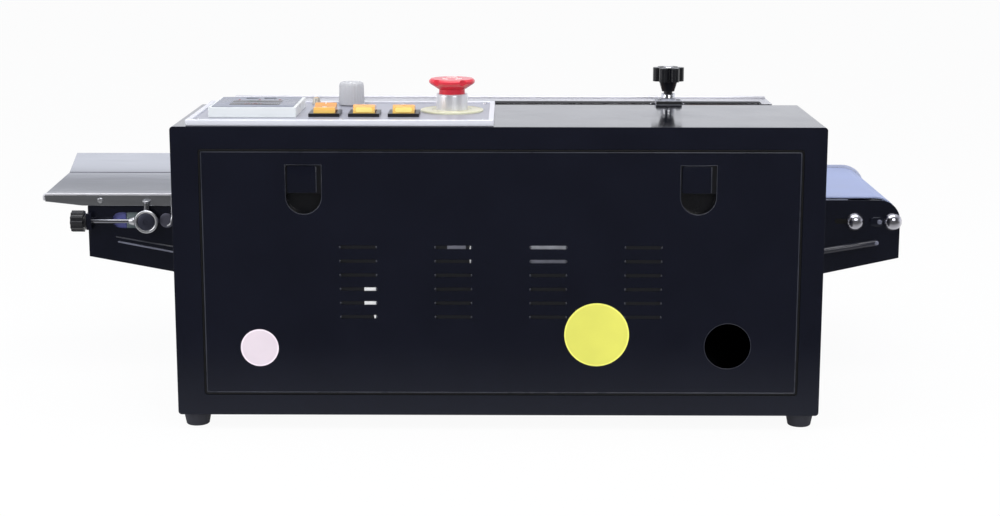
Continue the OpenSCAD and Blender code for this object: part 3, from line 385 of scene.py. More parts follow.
# The panel's rolled hem and the dark gap round it, the rims of its cut-outs and the pierced ends
# of its louvres. The hem, rims and ends are a lighter enamel, painted highlight; the gap is painted shade.
highlight_enamel = finish("highlight_enamel", paint(50, 52, 61), 0.3, coat=0.4, mottle=0.35, smear=0.08, grain=500,
                     bump=0.1)
low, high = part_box("back_panel")
middle, panel_w, panel_h = (low + high) / 2, (high.x - low.x) / MM, (high.z - low.z) / MM
# A near-black bar in the gap round the panel is painted shade.
gap_shade = finish("gap_shade", (0.001, 0.001, 0.0014, 1), 0.9, mottle=0.2)
for name, grow, corner, sunk, radius, material in (
        ("panel_hem", -2.6, 1.2, 0.5, 0.7, highlight_enamel), ("panel_gap", 0.3, 2.0, 0.1, 0.75, gap_shade)):
    start = Vector((middle.x, low.y + sunk * MM, middle.z))
    outline = round_outline(panel_w + grow, panel_h + grow, corner, 4)
    line = [start + (RIGHT * u + UP * v) * MM for u, v in outline]
    add_sweep(name, line, [radius] * len(line), material, "machine", steps=12, closed=True)
PULL_TOP, PULL_LOW, PULL_R = 234.2, 191.2, 15.5
LATCH_W, LATCH_H = 25, 23.6
for x, word in ((-166.8, "left"), (171.2, "right")):
    bend = [math.pi + math.pi * i / 16 for i in range(17)]
    rim = [(PULL_R * math.cos(turn), PULL_LOW + PULL_R + PULL_R * math.sin(turn)) for turn in bend]
    line = [at(x + u, 0.25, v) for u, v in [(-PULL_R, PULL_TOP)] + rim + [(PULL_R, PULL_TOP)]]
    add_sweep("pull_rim_" + word, line, [0.35] * len(line), highlight_enamel, "machine",
              closed=True)
    edge = between(at(x + 11, 0.9, PULL_TOP - 1.6), at(x + 11, 0.9, PULL_TOP - 24), 0.45)
    add_sweep("pull_latch_edge_" + word, edge, blunt(0.45, 9), highlight_enamel, "machine")
    add_plate("pull_latch_" + word, round_outline(LATCH_W, LATCH_H, 1.6), at(x - 1.6, 1.9, PULL_TOP - 12.6),
              RIGHT, UP, 0.8, 0.3, enamel, "machine")
CABLE_X, CABLE_Z, CABLE_R = 199, 75.5, 20.3
add_sweep("cable_hole_rim", circle(at(CABLE_X, 0.3, CABLE_Z), RIGHT, UP, CABLE_R, 48), [0.35] * 48,
          highlight_enamel, "machine", closed=True)
VENTS, VENT_HALF = (-120.65, -38.75, 43.15, 125.05), 15.6
ROWS = [162.7 - 12.3 * i for i in range(6)]
dimples = bmesh.new()
for x, z, end in [(x, z, end) for x in VENTS for z in ROWS for end in (-VENT_HALF, VENT_HALF)]:
    dent = Matrix.Translation(at(x + end, 0.05, z)) @ Matrix.Diagonal((1, 0.5, 1.3, 1))
    bmesh.ops.create_icosphere(dimples, subdivisions=2, radius=0.8 * MM, matrix=dent)
add_piece("louvre_ends", dimples, highlight_enamel, "machine")

# A black filter cloth behind the louvres, its tone a painted shade for the dim inside seen through them,
# with the brackets, clip and wires that show in front of it.
shade_filter_cloth = finish("shade_filter_cloth", paint(18, 20, 27), 0.7, mottle=0.15, weave=900, bump=0.4)
add_plate("dust_filter_shade", round_outline(300, 80, 2), at(2, 1.6, 132), RIGHT, UP, 0.3, 0, shade_filter_cloth,
          "machine")
galvanised = finish("galvanised", paint(206, 208, 216), 0.4, metal=0.7, mottle=0.2, smear=0.1,
                    stretch=(3, 1, 1), grain=500, bump=0.2)
# A darker copy of the zinc, for the lower bracket and the clip.
darker_zinc = finish("darker_zinc", paint(118, 119, 130), 0.5, metal=0.4, mottle=0.25, stretch=(3, 1, 1),
                   grain=500, bump=0.2)
white_wire = finish("white_wire", paint(242, 242, 240), 0.4, mottle=0.04, grain=900, bump=0.1)
for name, x, z, width, corner, material in (
        ("bracket_upper", 43, 163, 36, 1.5, galvanised), ("bracket_lower", 43, 150.4, 36, 1.5, darker_zinc),
        ("cable_clip", -36, 163, 16, 2, darker_zinc)):
    add_plate(name, round_outline(width, 8, corner), at(x, 1.3, z), RIGHT, UP, 0.25, 0.08, material,
              "machine")
add_sweep("clip_wire", [at(-24, 1.35, 166 - i * 2.4) for i in range(9)], blunt(0.9, 9), white_wire,
          "machine")
add_plate("wire_block", round_outline(13, 21, 1.2), at(-109.3, 1.3, 119.6), RIGHT, UP, 0.3, 0.1, white_wire,
          "machine")
add_sweep("block_wire", [at(-106.6, 1.35, 112 - i * 1.8) for i in range(9)], blunt(1.3, 9), white_wire,
          "machine")

# Two plain round paper stickers, each with a paler rim.
for name, x, z, radius, tone in (("sticker_yellow", 85.4, 85.6, 28.1, paint(228, 226, 96)),
                                 ("sticker_pale", -207.3, 73.4, 16.5, paint(228, 214, 222))):
    paper = finish(name, tone, 0.5, mottle=0.05, smear=0.08, grain=1300, bump=0.25)
    paler = tuple(min(1, c * 1.15 + 0.03) for c in tone[:3]) + (1,)
    edge = finish(name + "_rim", paler, 0.5, mottle=0.05, grain=1300, bump=0.25)
    add_plate(name, disc_outline(radius), at(x, -0.02, z), RIGHT, UP, 0.1, 0, edge, "machine")
    add_plate(name + "_face", disc_outline(radius - 1.4), at(x, -0.12, z), RIGHT, UP, 0.03, 0, paper,
              "machine")

# Screws that hold the casing to its base plate, along both sides and from below.
CASING_HALF = 280
for way, word in ((LEFT, "left"), (RIGHT, "right")):
    for i, y in enumerate((28, 80, 132)):
        add_screw(f"casing_screw_{word}_{i + 1}", at(way.x * CASING_HALF, y, 21), way, 3.2, "machine",
                  screw_steel)
for i, (x, y) in enumerate([(x, y) for x in (-250, -90, 90, 250) for y in (52, 106)]):
    add_screw(f"base_screw_{i + 1}", at(x, y, 13), -UP, 3.2, "machine", screw_steel, height=1.4)

# ---- Control panel ----
# A satin white frame is screwed to the casing's top round a grey panel plate. The temperature
# controller, three lit rockers, the speed knob, a lamp and the stop button are let into it.

DECK = 271
CONTROLLER_X, GLASS_Z = -213.26, 280.02
KNOB_X, KNOB_Y = -134.92, 122
STOP_X, STOP_Y = -41.81, 79
silver_trim = finish("silver_trim", paint(225, 226, 234), 0.34, metal=0.06, coat=0.3, mottle=0.03,
                     stretch=(1, 1, 12), grain=700, bump=0.05)
soften("panel_frame", silver_trim, 0.9)
panel_grey = finish("panel_grey", paint(160, 161, 174), 0.4, coat=0.3, mottle=0.05, grain=1600, bump=0.12)
soften("panel_plate", panel_grey, 0.3)
for x in (-257.5, -135.5, -13.5):
    for y in (12.5, 132.5):
        add_screw(f"panel_screw_{x}_{y}".replace("-", "m"), at(x, y, DECK), UP, 2.4, "machine", chrome,
                  height=1.5)

# The controller: a white bezel round a glossy grey face with two windows, lamps and two keys.
moulded_white = finish("white_plastic", paint(238, 242, 242), 0.32, coat=0.2, mottle=0.03, grain=1500,
                       bump=0.08)
soften("controller_case", moulded_white, 1.3, segments=4)
moulded_grey = finish("grey_plastic", paint(128, 130, 138), 0.42, mottle=0.06, grain=1500, bump=0.15)
for node in ("controller_key_up", "controller_key_down"):
    soften(node, moulded_grey, 0.5)
face_glass = finish("face_glass", paint(134, 138, 154), 0.3, mottle=0.2, smear=0.08, grain=900, bump=0.05,
                    Specular_IOR_Level=0.45)
window_glass = finish("window_glass", (0.006, 0.004, 0.006, 1), 0.2, mottle=0.1, smear=0.04,
                      Specular_IOR_Level=0.3)
digit_red = finish("digit_red", paint(120, 36, 36), 0.3, coat=0.4, mottle=0.08)
digit_green = finish("digit_green", paint(40, 96, 60), 0.3, coat=0.4, mottle=0.08)
KEYS = (CONTROLLER_X - 8, CONTROLLER_X + 8)
GLASS_W, KEY_ROW, KEY_HALF = 71, 91.2, 5.3
for word, y, deep in (("", 59.2, 56), ("_far", 98.5, 6.6)):
    add_plate("controller_face" + word, round_outline(GLASS_W, deep, 1.6), at(CONTROLLER_X, y, GLASS_Z),
              RIGHT, AWAY, 0.5, 0.15, face_glass, "machine")
edges = [CONTROLLER_X - GLASS_W / 2] + [key + side for key in KEYS for side in (-KEY_HALF, KEY_HALF)]
edges.append(CONTROLLER_X + GLASS_W / 2)
for i, (left, right) in enumerate(zip(edges[::2], edges[1::2])):
    add_plate(f"controller_face_between_{i + 1}", round_outline(right - left, 8.2, 0.3),
              at((left + right) / 2, KEY_ROW, GLASS_Z), RIGHT, AWAY, 0.5, 0.12, face_glass, "machine")
BARS = {"a": (0, 6, 0), "b": (2.6, 3, 90), "c": (2.6, -3, 90), "d": (0, -6, 0), "e": (-2.6, -3, 90),
        "f": (-2.6, 3, 90), "g": (0, 0, 0)}
DIGITS = {"1": "bc", "0": "abcdef", "8": "abcdefg", "5": "afgcd"}


def add_digits(name, number, middle, step, scale, material):
    """Numbers in seven bars each, turned so that they read from the sealing head's side."""
    mesh = bmesh.new()
    for place, digit in enumerate(number):
        for bar in DIGITS[digit]:
            across, up, turn = BARS[bar]
            long, thick = (2.1 if turn == 0 else 2.4), 0.5
            outline = [(-long, 0), (-long + thick, -thick), (long - thick, -thick), (long, 0),
                       (long - thick, thick), (-long + thick, thick)]
            cosine, sine = math.cos(math.radians(turn)), math.sin(math.radians(turn))
            centre = (place - (len(number) - 1) / 2) * step
            spots = [LEFT * (centre + across + u * cosine - v * sine)
                     + FACE * (up + u * sine + v * cosine) for u, v in outline]
            mesh.faces.new([mesh.verts.new(middle + spot * scale * MM) for spot in spots])
    grown = bmesh.ops.extrude_face_region(mesh, geom=mesh.faces[:])["geom"]
    bmesh.ops.translate(mesh, verts=[v for v in grown if isinstance(v, bmesh.types.BMVert)],
                        vec=UP * 0.06 * MM)
    return add_piece(name, mesh, material, "machine")


for word, y, deep, number, scale, tone in (("upper", 50, 15, "180", 0.72, digit_red),
                                           ("lower", 68.5, 13, "150", 0.6, digit_green)):
    add_plate(f"display_window_{word}", round_outline(44, deep, 1), at(CONTROLLER_X, y, GLASS_Z + 0.5),
              RIGHT, AWAY, 0.1, 0.03, window_glass, "machine")
    add_digits(f"display_digits_{word}", number, at(CONTROLLER_X, y, GLASS_Z + 0.6), 9.5, scale, tone)
lamp_red = finish("pilot_red", paint(150, 44, 44), 0.2, coat=0.5, mottle=0.06)
for i in range(3):
    add_turned(f"pilot_light_{i + 1}", [(0, 0.35), (0.6, 0.3), (1.0, 0.15), (1.15, 0), (0, 0)],
               at(CONTROLLER_X - 18 + 18 * i, 80.5, 280.5), UP, lamp_red, "machine", steps=20)

# Three rocker switches in black bezels, lit amber, paler where the lamp shines through the front.
soften("switch_housings", moulded_black, 0.5)
amber = finish("amber_lens", paint(240, 168, 84), 0.2, coat=0.4, mottle=0.07, grain=800, bump=0.05)
amber_tree = amber.node_tree
amber_shader = amber_tree.nodes["Principled BSDF"]
amber_tint = amber_shader.inputs["Base Color"].links[0].from_node
amber_place, amber_split, amber_fade, amber_blend = add_nodes(
    amber_tree, "ShaderNodeTexCoord", "ShaderNodeSeparateXYZ", "ShaderNodeMapRange", "ShaderNodeMix")
amber_blend.data_type = "RGBA"
set_inputs(amber_fade, From_Min=at(0, 38.3, 0).y, From_Max=at(0, 40.2, 0).y)
set_inputs(amber_blend, A=paint(250, 206, 112))
set_inputs(amber_shader, Subsurface_Weight=0.15, Subsurface_Radius=(0.004, 0.002, 0.001))
join(amber_tree, (amber_place, "Object", amber_split, "Vector"), (amber_split, "Y", amber_fade, "Value"),
     (amber_fade, "Result", amber_blend, "Factor"), (amber_tint, "Color", amber_blend, "B"),
     (amber_blend, "Result", amber_shader, "Base Color"))
rocker_glow = finish("rocker_glow", paint(252, 226, 130), 0.3, coat=0.3, mottle=0.08, grain=800, bump=0.05)
mark_white = finish("mark_white", paint(244, 244, 240), 0.4, mottle=0.03)


def land(node, start, way):
    """Where a line from start along way first meets a frame solid, and that face's normal."""
    mesh = bmesh.new()
    mesh.from_mesh(frame["nodes"][node].data)
    place, normal = BVHTree.FromBMesh(mesh).ray_cast(start, way)[:2]
    mesh.free()
    return place, normal


ROCKERS = (-151.72, -117.22, -82.72)
for i, x in enumerate(ROCKERS):
    rocker, body = f"rocker_{i + 1}", f"switch_{i + 1}"
    soften(rocker, amber, 0.8, segments=4)
    for word, y in (("off", 42.5), ("on", 55.5)):
        place, normal = land(rocker, at(x, y, 300), -UP)
        up = normal.cross(RIGHT).normalized()
        if word == "off":
            line = circle(place + normal * 0.05 * MM, RIGHT, up, 1.9, 28)
            add_sweep(f"mark_off_{i + 1}", line, [0.22] * 28, mark_white, body, steps=8,
                      closed=True)
        else:
            add_plate(f"mark_on_{i + 1}", round_outline(0.7, 4.4, 0.3, 3), place, RIGHT, up, 0.12, 0,
                      mark_white, body)
    if i:
        place, normal = land(rocker, at(x, 30, 276.8), AWAY)
        add_plate(f"rocker_glow_{i + 1}", round_outline(14.5, 4.2, 1.6), place, RIGHT,
                  normal.cross(RIGHT).normalized(), 0.1, 0, rocker_glow, body)

# The speed knob: a fluted grey grip with a white pointer, over a printed scale from 0 to 10.
knob_profile = [(3.3, 0.2), (11.5, 0.2), (11.65, 0.8), (11.25, 17.6), (10.7, 19.6), (9.6, 20.5), (8.2, 20.7),
                (7.9, 20.3), (0, 20.1), (0, 13.2), (3.3, 13.2), (3.3, 0.2)]
knob_grey = finish("knob_grey", paint(196, 197, 201), 0.34, coat=0.2, mottle=0.04, grain=1500, bump=0.12)
knob_piece = add_turned("speed_knob_grip", knob_profile, at(KNOB_X, KNOB_Y, DECK + 0.5), UP, knob_grey,
                        "knob", steps=96, smooth=50)
FLUTES, FLUTE_DEPTH, FLUTED_FROM = 24, 0.05, 9.8
for vertex in knob_piece.data.vertices:
    reach = Vector((vertex.co.x, vertex.co.y, 0)) - Vector((*at(KNOB_X, KNOB_Y, 0).xy, 0))
    if reach.length > FLUTED_FROM * MM:
        share = FLUTE_DEPTH * (0.5 - 0.5 * math.cos(FLUTES * math.atan2(reach.y, reach.x))) ** 2
        vertex.co.x -= reach.x * share
        vertex.co.y -= reach.y * share
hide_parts("speed_knob")
add_plate("knob_pointer", round_outline(1.1, 7.6, 0.5, 4), at(KNOB_X, KNOB_Y - 4, DECK + 20.65), RIGHT, AWAY,
          0.25, 0.08, mark_white, "knob")
dial_ink = finish("dial_ink", paint(34, 36, 44), 0.5, mottle=0.05)
for i in range(11):
    turn = math.radians(-90 + (i - 5) * 27)
    way = Vector((math.cos(turn), math.sin(turn), 0))
    tick = round_outline(2.4, 0.5 if i % 5 else 0.9, 0.2, 3)
    add_plate(f"dial_tick_{i}", tick, at(KNOB_X, KNOB_Y, DECK) + way * 13.9 * MM, way, UP.cross(way),
              0.04, 0, dial_ink, "machine")
    if i % 2 == 0:
        writing = bpy.data.curves.new(f"dial_number_{i}", "FONT")
        writing.body, writing.size, writing.align_x, writing.align_y = str(i), 0.0034, "CENTER", "CENTER"
        writing.extrude = 0.00003
        lettering = bpy.data.objects.new(f"dial_writing_{i}", writing)
        bpy.context.scene.collection.objects.link(lettering)
        bpy.context.view_layer.update()
        number = bmesh.new()
        graph = bpy.context.evaluated_depsgraph_get()
        flat = bpy.data.meshes.new_from_object(lettering.evaluated_get(graph))
        number.from_mesh(flat)
        bpy.data.objects.remove(lettering)
        spot = Matrix.Translation(at(KNOB_X, KNOB_Y, DECK + 0.03) + way * 17.6 * MM)
        bmesh.ops.transform(number, matrix=spot @ Matrix.Rotation(math.pi, 4, "Z"), verts=number.verts)
        add_piece(f"dial_number_{i}", number, dial_ink, "machine")
dress("speed_pot", finish("turned_steel", paint(150, 152, 158), 0.3, metal=1.0, grain=1200, bump=0.05))

# The pilot lamp: a turned bezel round a small amber dome.
bezel = finish("lamp_bezel", paint(196, 190, 180), 0.4, metal=0.5, mottle=0.05, grain=1200, bump=0.06)
soften("indicator_lamp", bezel, 0.5)
lamp_amber = finish("lamp_amber", paint(206, 176, 140), 0.3, coat=0.2, mottle=0.08)
add_turned("lamp_dome", [(0, 0.8), (0.9, 0.7), (1.7, 0.4), (2.1, 0), (0, 0)], at(KNOB_X - 32.6, 126, 277),
           UP, lamp_amber, "machine", steps=32)

# The stop button: a pale yellow plate, a chromed collar and a red mushroom head with five grips.
yellow_plastic = finish("yellow_plastic", paint(226, 226, 196), 0.36, coat=0.3, mottle=0.04, grain=1500,
                        bump=0.08)
soften("estop_base", yellow_plastic, 0.5)
for radius in (26.2, 17.5):
    ring = circle(at(STOP_X, STOP_Y, DECK + 1.45), RIGHT, AWAY, radius, 72)
    add_sweep(f"stop_plate_ring_{int(radius)}", ring, [0.35] * 72, yellow_plastic, "machine",
              steps=8, closed=True)
satin_chrome = finish("satin_chrome", paint(236, 237, 242), 0.32, metal=0.6, mottle=0.03, smear=0.05,
                      stretch=(1, 1, 6), grain=900, bump=0.05)
collar_profile = [(13.52, 1.5), (14.0, 1.5), (14.0, 13.8), (13.8, 14.9), (13.2, 15.6), (12.3, 15.75),
                  (11.85, 15.6), (11.85, 15.52), (13.52, 15.52), (13.52, 1.5)]
add_turned("stop_collar", collar_profile, at(STOP_X, STOP_Y, DECK), UP, satin_chrome, "machine",
           steps=72)
red_plastic = finish("red_plastic", paint(228, 46, 66), 0.3, coat=0.35, mottle=0.05, grain=1500, bump=0.08)
soften("estop_head", red_plastic, 0.9, segments=4)
dress("estop_stem", chrome)
for i in range(3):
    centre = math.radians(90 + 120 * i)
    turns = [centre + math.radians(-38 + 4 * step) for step in range(20)]
    arc = [at(STOP_X + 8.4 * math.cos(turn), STOP_Y + 8.4 * math.sin(turn), 300.02) for turn in turns]
    add_sweep(f"stop_arrow_{i + 1}", arc, blunt(0.5, 20, 3), mark_white, "estop_button",
              steps=8)

# ---- Drive inside the casing ----
# A motor and gearbox turn the hub that drives both head shafts by chain; the fan, transformer
# and circuit board stand beside them. The casing hides them all.

cast_grey = finish("grey_iron", paint(92, 94, 100), 0.5, mottle=0.12, grain=700, bump=0.3)
bare_aluminium = finish("machined_aluminium", paint(196, 198, 204), 0.34, metal=1.0, mottle=0.05,
                        stretch=(1, 8, 1), grain=600, bump=0.08)
turned_steel = bpy.data.materials["turned_steel"]
for node in ("gearbox", "transformer"):
    soften(node, cast_grey, 1.0)
for node in ("motor", "head_plate", "lower_drive_wheel", "upper_drive_wheel", "lower_idler", "upper_idler",
             "cooling_blocks"):
    dress(node, bare_aluminium)
for node in ("output_hub", "drive_chain", "lower_shaft", "upper_shaft", "shaft_bearings", "idler_axles",
             "lower_press_wheel", "upper_press_wheel", "pressure_yoke"):
    dress(node, turned_steel)
dress("circuit_board", finish("board_green", paint(40, 108, 62), 0.4, mottle=0.1, grain=1800, bump=0.1))
for node in ("fan_housing", "fan_rotor"):
    dress(node, moulded_black)

# ---- Sealing head ----
# Two sealing bands and two guide belts run between wheels behind bright stainless guards. A
# star knob in a bracket over the guard sets the press wheels' pressure.

dress("heater_blocks", finish("brass", paint(190, 150, 86), 0.35, metal=1.0, mottle=0.1, grain=900,
                              bump=0.1))
dress("seal_bands", finish("seal_band", paint(126, 84, 52), 0.32, mottle=0.15, grain=1800, bump=0.3,
                           weave=700))
dress("guide_belts", finish("black_rubber", paint(40, 41, 46), 0.6, mottle=0.12, grain=2000, bump=0.25))
stainless = finish("stainless", paint(212, 212, 217), 0.24, metal=1.0, mottle=0.04, smear=0.05,
                   stretch=(1, 30, 30), grain=260, bump=0.06)
soften("guards", stainless, 0.6)
STAR_X, STAR_Y, STAR_TOP = 158.3, 170.5, 300.95
matt_black = finish("matt_black", paint(26, 27, 32), 0.62, mottle=0.1, grain=1400, bump=0.15)
soften("pressure_bracket", finish("zinc_plate", paint(186, 188, 198), 0.42, metal=0.25, mottle=0.06,
                                  grain=900, bump=0.08), 0.8)
knob_black = finish("knob_black", paint(20, 21, 26), 0.3, coat=0.25, mottle=0.1, grain=1500, bump=0.12)
soften("pressure_screw", knob_black, 1.2, segments=4)
painted_shade_matt = finish("painted_shade_matt", paint(30, 31, 35), 0.72, mottle=0.12, grain=2000, bump=0.3)

# A dark matt strip over the guard's near edge is painted shade for the shadowed gap between the casing's
# top and the guard, and a rolled hem runs along the guard's far edge. The strip is narrower where the
# bracket stands, and a pad of the same painted shade on the bracket's near face carries the dark line on.
STRIP_FAR, BRACKET_LEFT, BRACKET_RIGHT = 190.5, 142.3, 174.3
for word, left, right, near in (("left", -256.5, BRACKET_LEFT, 175.6), ("right", BRACKET_RIGHT, 247, 175.6),
                                ("middle", BRACKET_LEFT, BRACKET_RIGHT, 186.3)):
    wide = STRIP_FAR - near
    add_plate(f"guard_shade_strip_{word}", [(left, 0), (right, 0), (right, wide), (left, wide)], at(0, near, 266),
              RIGHT, AWAY, 0.7, 0.28, painted_shade_matt, "machine")
hem_steel = finish("hem_steel", paint(224, 224, 230), 0.45, metal=0.5, mottle=0.03, stretch=(1, 30, 30),
                   grain=260, bump=0.05)
add_plate("bracket_shade_pad", round_outline(24, 3.1, 0.5), at(STAR_X, 158.02, 268.9), RIGHT, UP, 0.5, 0.2,
          painted_shade_matt, "machine")
hem_line = [at(x, 222.7, 266.6) for x in (-256.6, -256, -200, 0, 200, 256, 256.6)]
add_sweep("guard_hem", hem_line, [0.8, 1.4, 1.4, 1.4, 1.4, 1.4, 0.8], hem_steel, "machine",
          steps=16)
add_turned("pressure_collar", [(5.52, 0), (6.6, 0), (6.9, 0.5), (6.9, 3.4), (6.5, 4.0), (6.5, 5.6),
                               (5.8, 6.1), (5.0, 6.1), (5.0, 6.05), (5.52, 6.0), (5.52, 0)],
           at(STAR_X, STAR_Y, 270.65), UP, chrome, "machine", steps=48)
add_turned("star_knob_cap", [(0, 1.0), (3.2, 0.9), (4.6, 0.5), (5.0, 0), (0, 0)],
           at(STAR_X, STAR_Y, STAR_TOP), UP, chrome, "press_screw")
add_sweep("star_knob_groove", circle(at(STAR_X, STAR_Y, STAR_TOP - 0.05), RIGHT, AWAY, 8.2, 48), [0.35] * 48,
          knob_black, "press_screw", steps=8, closed=True)
for x in (STAR_X - 8.8, STAR_X + 8.8):
    add_screw(f"bracket_screw_{int(x)}", at(x, 161.7, 271.1), UP, 2.0, "machine", screw_steel, height=1.2)

# Round nuts that hold the guards on their posts, on the operator's side.
POSTS = [(x, y, z) for y, z in ((224, 235), (195, 185)) for x in (-190, -35, 190)]
for i, (x, y, z) in enumerate(POSTS):
    add_turned(f"guard_nut_{i + 1}", [(0, 6.4), (2.2, 6.4), (2.2, 5.8), (5.4, 5.8), (6.2, 5.1), (6.2, 1.4),
                                      (5.6, 0.7), (3.4, 0.7), (3.4, 0), (0, 0)],
               at(x, y, z), AWAY, chrome, "machine", steps=32, smooth=25)

# ---- Conveyor ----
# A pale blue belt runs over two rollers between pressed black side plates. Chromed nuts and
# rings carry the axles, black knobs tension them, and a stainless tray leads bags in.

for node in ("near_side_plate", "far_side_plate"):
    soften(node, enamel, 0.5)
soften("conveyor_frame", finish("bed_aluminium", paint(118, 122, 136), 0.45, metal=1.0, mottle=0.12,
                                stretch=(1, 8, 1), grain=600, bump=0.1), 0.5)
belt_blue = finish("belt_blue", paint(164, 176, 215), 0.5, mottle=0.04, grain=1400, bump=0.35, weave=260)
dress("conveyor_belt", belt_blue)
for node in ("outfeed_roller", "infeed_roller", "drive_drum"):
    dress(node, turned_steel)
soften("tension_axle", chrome, 0.5)
for node in ("tension_screw_near", "tension_screw_far"):
    soften(node, knob_black, 0.6)
tray_steel = finish("tray_steel", paint(211, 213, 219), 0.2, metal=1.0, mottle=0.03, smear=0.05,
                    stretch=(1, 12, 12), grain=260, bump=0.04)
soften("tray", tray_steel, 0.3)
shaded_belt_blue = finish("shaded_belt_blue", paint(96, 100, 168), 0.4, mottle=0.15, grain=900, bump=0.15)
slide_grey = finish("slide_grey", paint(120, 134, 136), 0.45, mottle=0.15, grain=900, bump=0.15)
rod_steel = finish("rod_steel", paint(150, 151, 158), 0.14, metal=1.0, mottle=0.05, smear=0.04, grain=900,
                   bump=0.05)
nickel = finish("nickel", paint(228, 229, 233), 0.34, metal=1.0, mottle=0.05, smear=0.06, grain=900,
                bump=0.06)
nut_chrome = finish("nut_chrome", paint(206, 205, 214), 0.2, metal=1.0, mottle=0.12, smear=0.08, grain=500,
                    bump=0.2)
nut_in_shade = finish("nut_in_shade", paint(112, 112, 126), 0.5, metal=0.8, mottle=0.3, smear=0.1, grain=500,
                  bump=0.3)
axle_steel = finish("axle_steel", paint(70, 72, 86), 0.4, metal=0.8, mottle=0.5, smear=0.1, grain=400,
                    bump=0.3)
slot_shadow = finish("slot_shadow", (0.0015, 0.0015, 0.002, 1), 0.9, mottle=0.2)

# A brighter enamel, painted highlight: the ribs' bright edge and end, and the adjuster screw's glint.
highlight_bright = finish("highlight_bright", paint(106, 108, 124), 0.35, coat=0.3, mottle=0.4, smear=0.08, grain=500,
                     bump=0.1)
rib_sheen_enamel = finish("rib_sheen_enamel", paint(34, 35, 48), 0.3, coat=0.4, mottle=0.2, smear=0.08, grain=500,
                    bump=0.1)
PLATE_NEAR, PLATE_FAR, AXLE_Z = 198, 389, 149
ribs = (("outfeed_rib", (286, 115.6), (366.5, 128.6), 3.1, rib_sheen_enamel),
        ("outfeed_rib_end", (362.5, 128), (366.9, 128.7), 2.2, highlight_bright),
        ("infeed_rib_upper", (-372.6, 132.8), (-286, 117.6), 0.7, highlight_enamel),
        ("infeed_rib_lower", (-370.6, 128), (-286, 111.8), 0.9, highlight_bright))
dome = [(8.6, 0), (8.75, 0.25), (8.75, 0.9), (8.3, 1.5), (7.9, 2.7), (6.6, 4.6), (4.6, 5.9), (2.2, 6.5),
        (0, 6.65), (0, 0), (8.6, 0)]
low_dome = [(7.0, 0), (7.1, 0.15), (7.05, 0.5), (6.4, 0.8), (4.9, 1.0), (2.6, 1.15), (0, 1.2), (0, 0),
            (7.0, 0)]
for side, face, way in (("near", PLATE_NEAR, FACE), ("far", PLATE_FAR, AWAY)):
    across = UP.cross(way)
    # Each plate is stiffened by a pressed rib at either end. The infeed one is a shallow channel, so only
    # its two edges catch the light. Those edges and the outfeed rib's end are painted highlight, and the
    # outfeed rib's lighter enamel is painted sheen.
    for word, (x0, z0), (x1, z1), radius, material in ribs:
        lift = way * (1.6 * MM if word == "outfeed_rib_end" else 0)
        line = between(at(x0, face, z0) + lift, at(x1, face, z1) + lift, radius)
        add_sweep(f"{word}_{side}", line, blunt(radius, len(line)), material, "conveyor",
                  steps=20)
    # Domed nuts over the outfeed axle and its tie rod, with a slotted adjuster between them.
    for i, x in enumerate((343.5, 379.9)):
        add_turned(f"dome_nut_{side}_{i + 1}", dome, at(x, face, AXLE_Z), way, nut_chrome, "conveyor",
                   steps=48, smooth=50)
    add_plate(f"adjuster_slot_{side}", round_outline(12, 5, 2.4), at(330, face, 149.5) + way * 0.02 * MM,
              across, UP, 0.1, 0, slot_shadow, "conveyor")
    add_plate(f"axle_cap_{side}", round_outline(13.4, 9, 4.4), at(364.5, face, AXLE_Z), across, UP, 1.2, 0.4,
              enamel, "conveyor")
    add_screw(f"adjuster_screw_{side}", at(367.2, face, AXLE_Z) + way * 1.1 * MM, way, 2.4, "conveyor",
              highlight_bright, height=0.9)
    # The idler nut is a chromed nut in painted shade: a darker, duller copy of the nuts' chrome.
    add_turned(f"idler_nut_{side}", low_dome, at(-322.5, face, AXLE_Z), way, nut_in_shade, "conveyor",
               smooth=50)
    # The nylon slide block and its packing, which fill the tension slot from behind. The block's blue is
    # the belt's blue in painted shade.
    for word, left, right, material in (("block", -380, -362.5, shaded_belt_blue),
                                        ("packing", -362, -350.5, slide_grey)):
        add_plate(f"slide_{word}_{side}", round_outline(right - left, 17.8, 0.6),
                  at((left + right) / 2, face, AXLE_Z) - way * 4.8 * MM, across, UP, 1.6, 0.3, material,
                  "infeed_axle")
    for x, z in ((-200, 146), (240, 146), (-120, 104), (200, 104)):
        add_screw(f"plate_screw_{side}_{x}_{z}".replace("-", "m"), at(x, face, z), way, 3.4, "conveyor",
                  screw_steel, height=1.8)

# The tension axle's ends, its rings' rims and set screws, and what sits on the tension screws:
# sleeves, nuts, washers and the knobs' caps.
TENSION_X, ROD_NEAR, ROD_FAR = -341, 193.5, 393.5
axle_end = [(0, 0.3), (2.6, 0.3), (2.8, 0.7), (7.6, 0.7), (8.5, 0.1), (8.5, 0), (0, 0)]
ring_rim = [(8.6, 0), (8.8, 1.3), (9.4, 1.7), (10.5, 1.7), (11.2, 1.1), (11.25, 0), (8.6, 0)]
set_screw = [(0, 2.6), (3.2, 2.6), (3.5, 2.2), (3.5, 1.4), (1.9, 0.9), (1.6, 0), (0, 0)]
sleeve = [(2.04, 0), (2.12, 0.2), (2.12, 40.6), (2.04, 41), (2.04, 0)]
nut = [(2.2, 0), (3.0, 0.5), (4.2, 4.2), (4.2, 5.4), (2.2, 5.4), (2.2, 0)]
washer = [(2.2, 0), (6.2, 0), (6.4, 0.4), (6.4, 1.3), (6.0, 1.6), (2.2, 1.6), (2.2, 0)]
knob_cap = [(0, 0.7), (6.4, 0.5), (7.2, 0), (0, 0)]
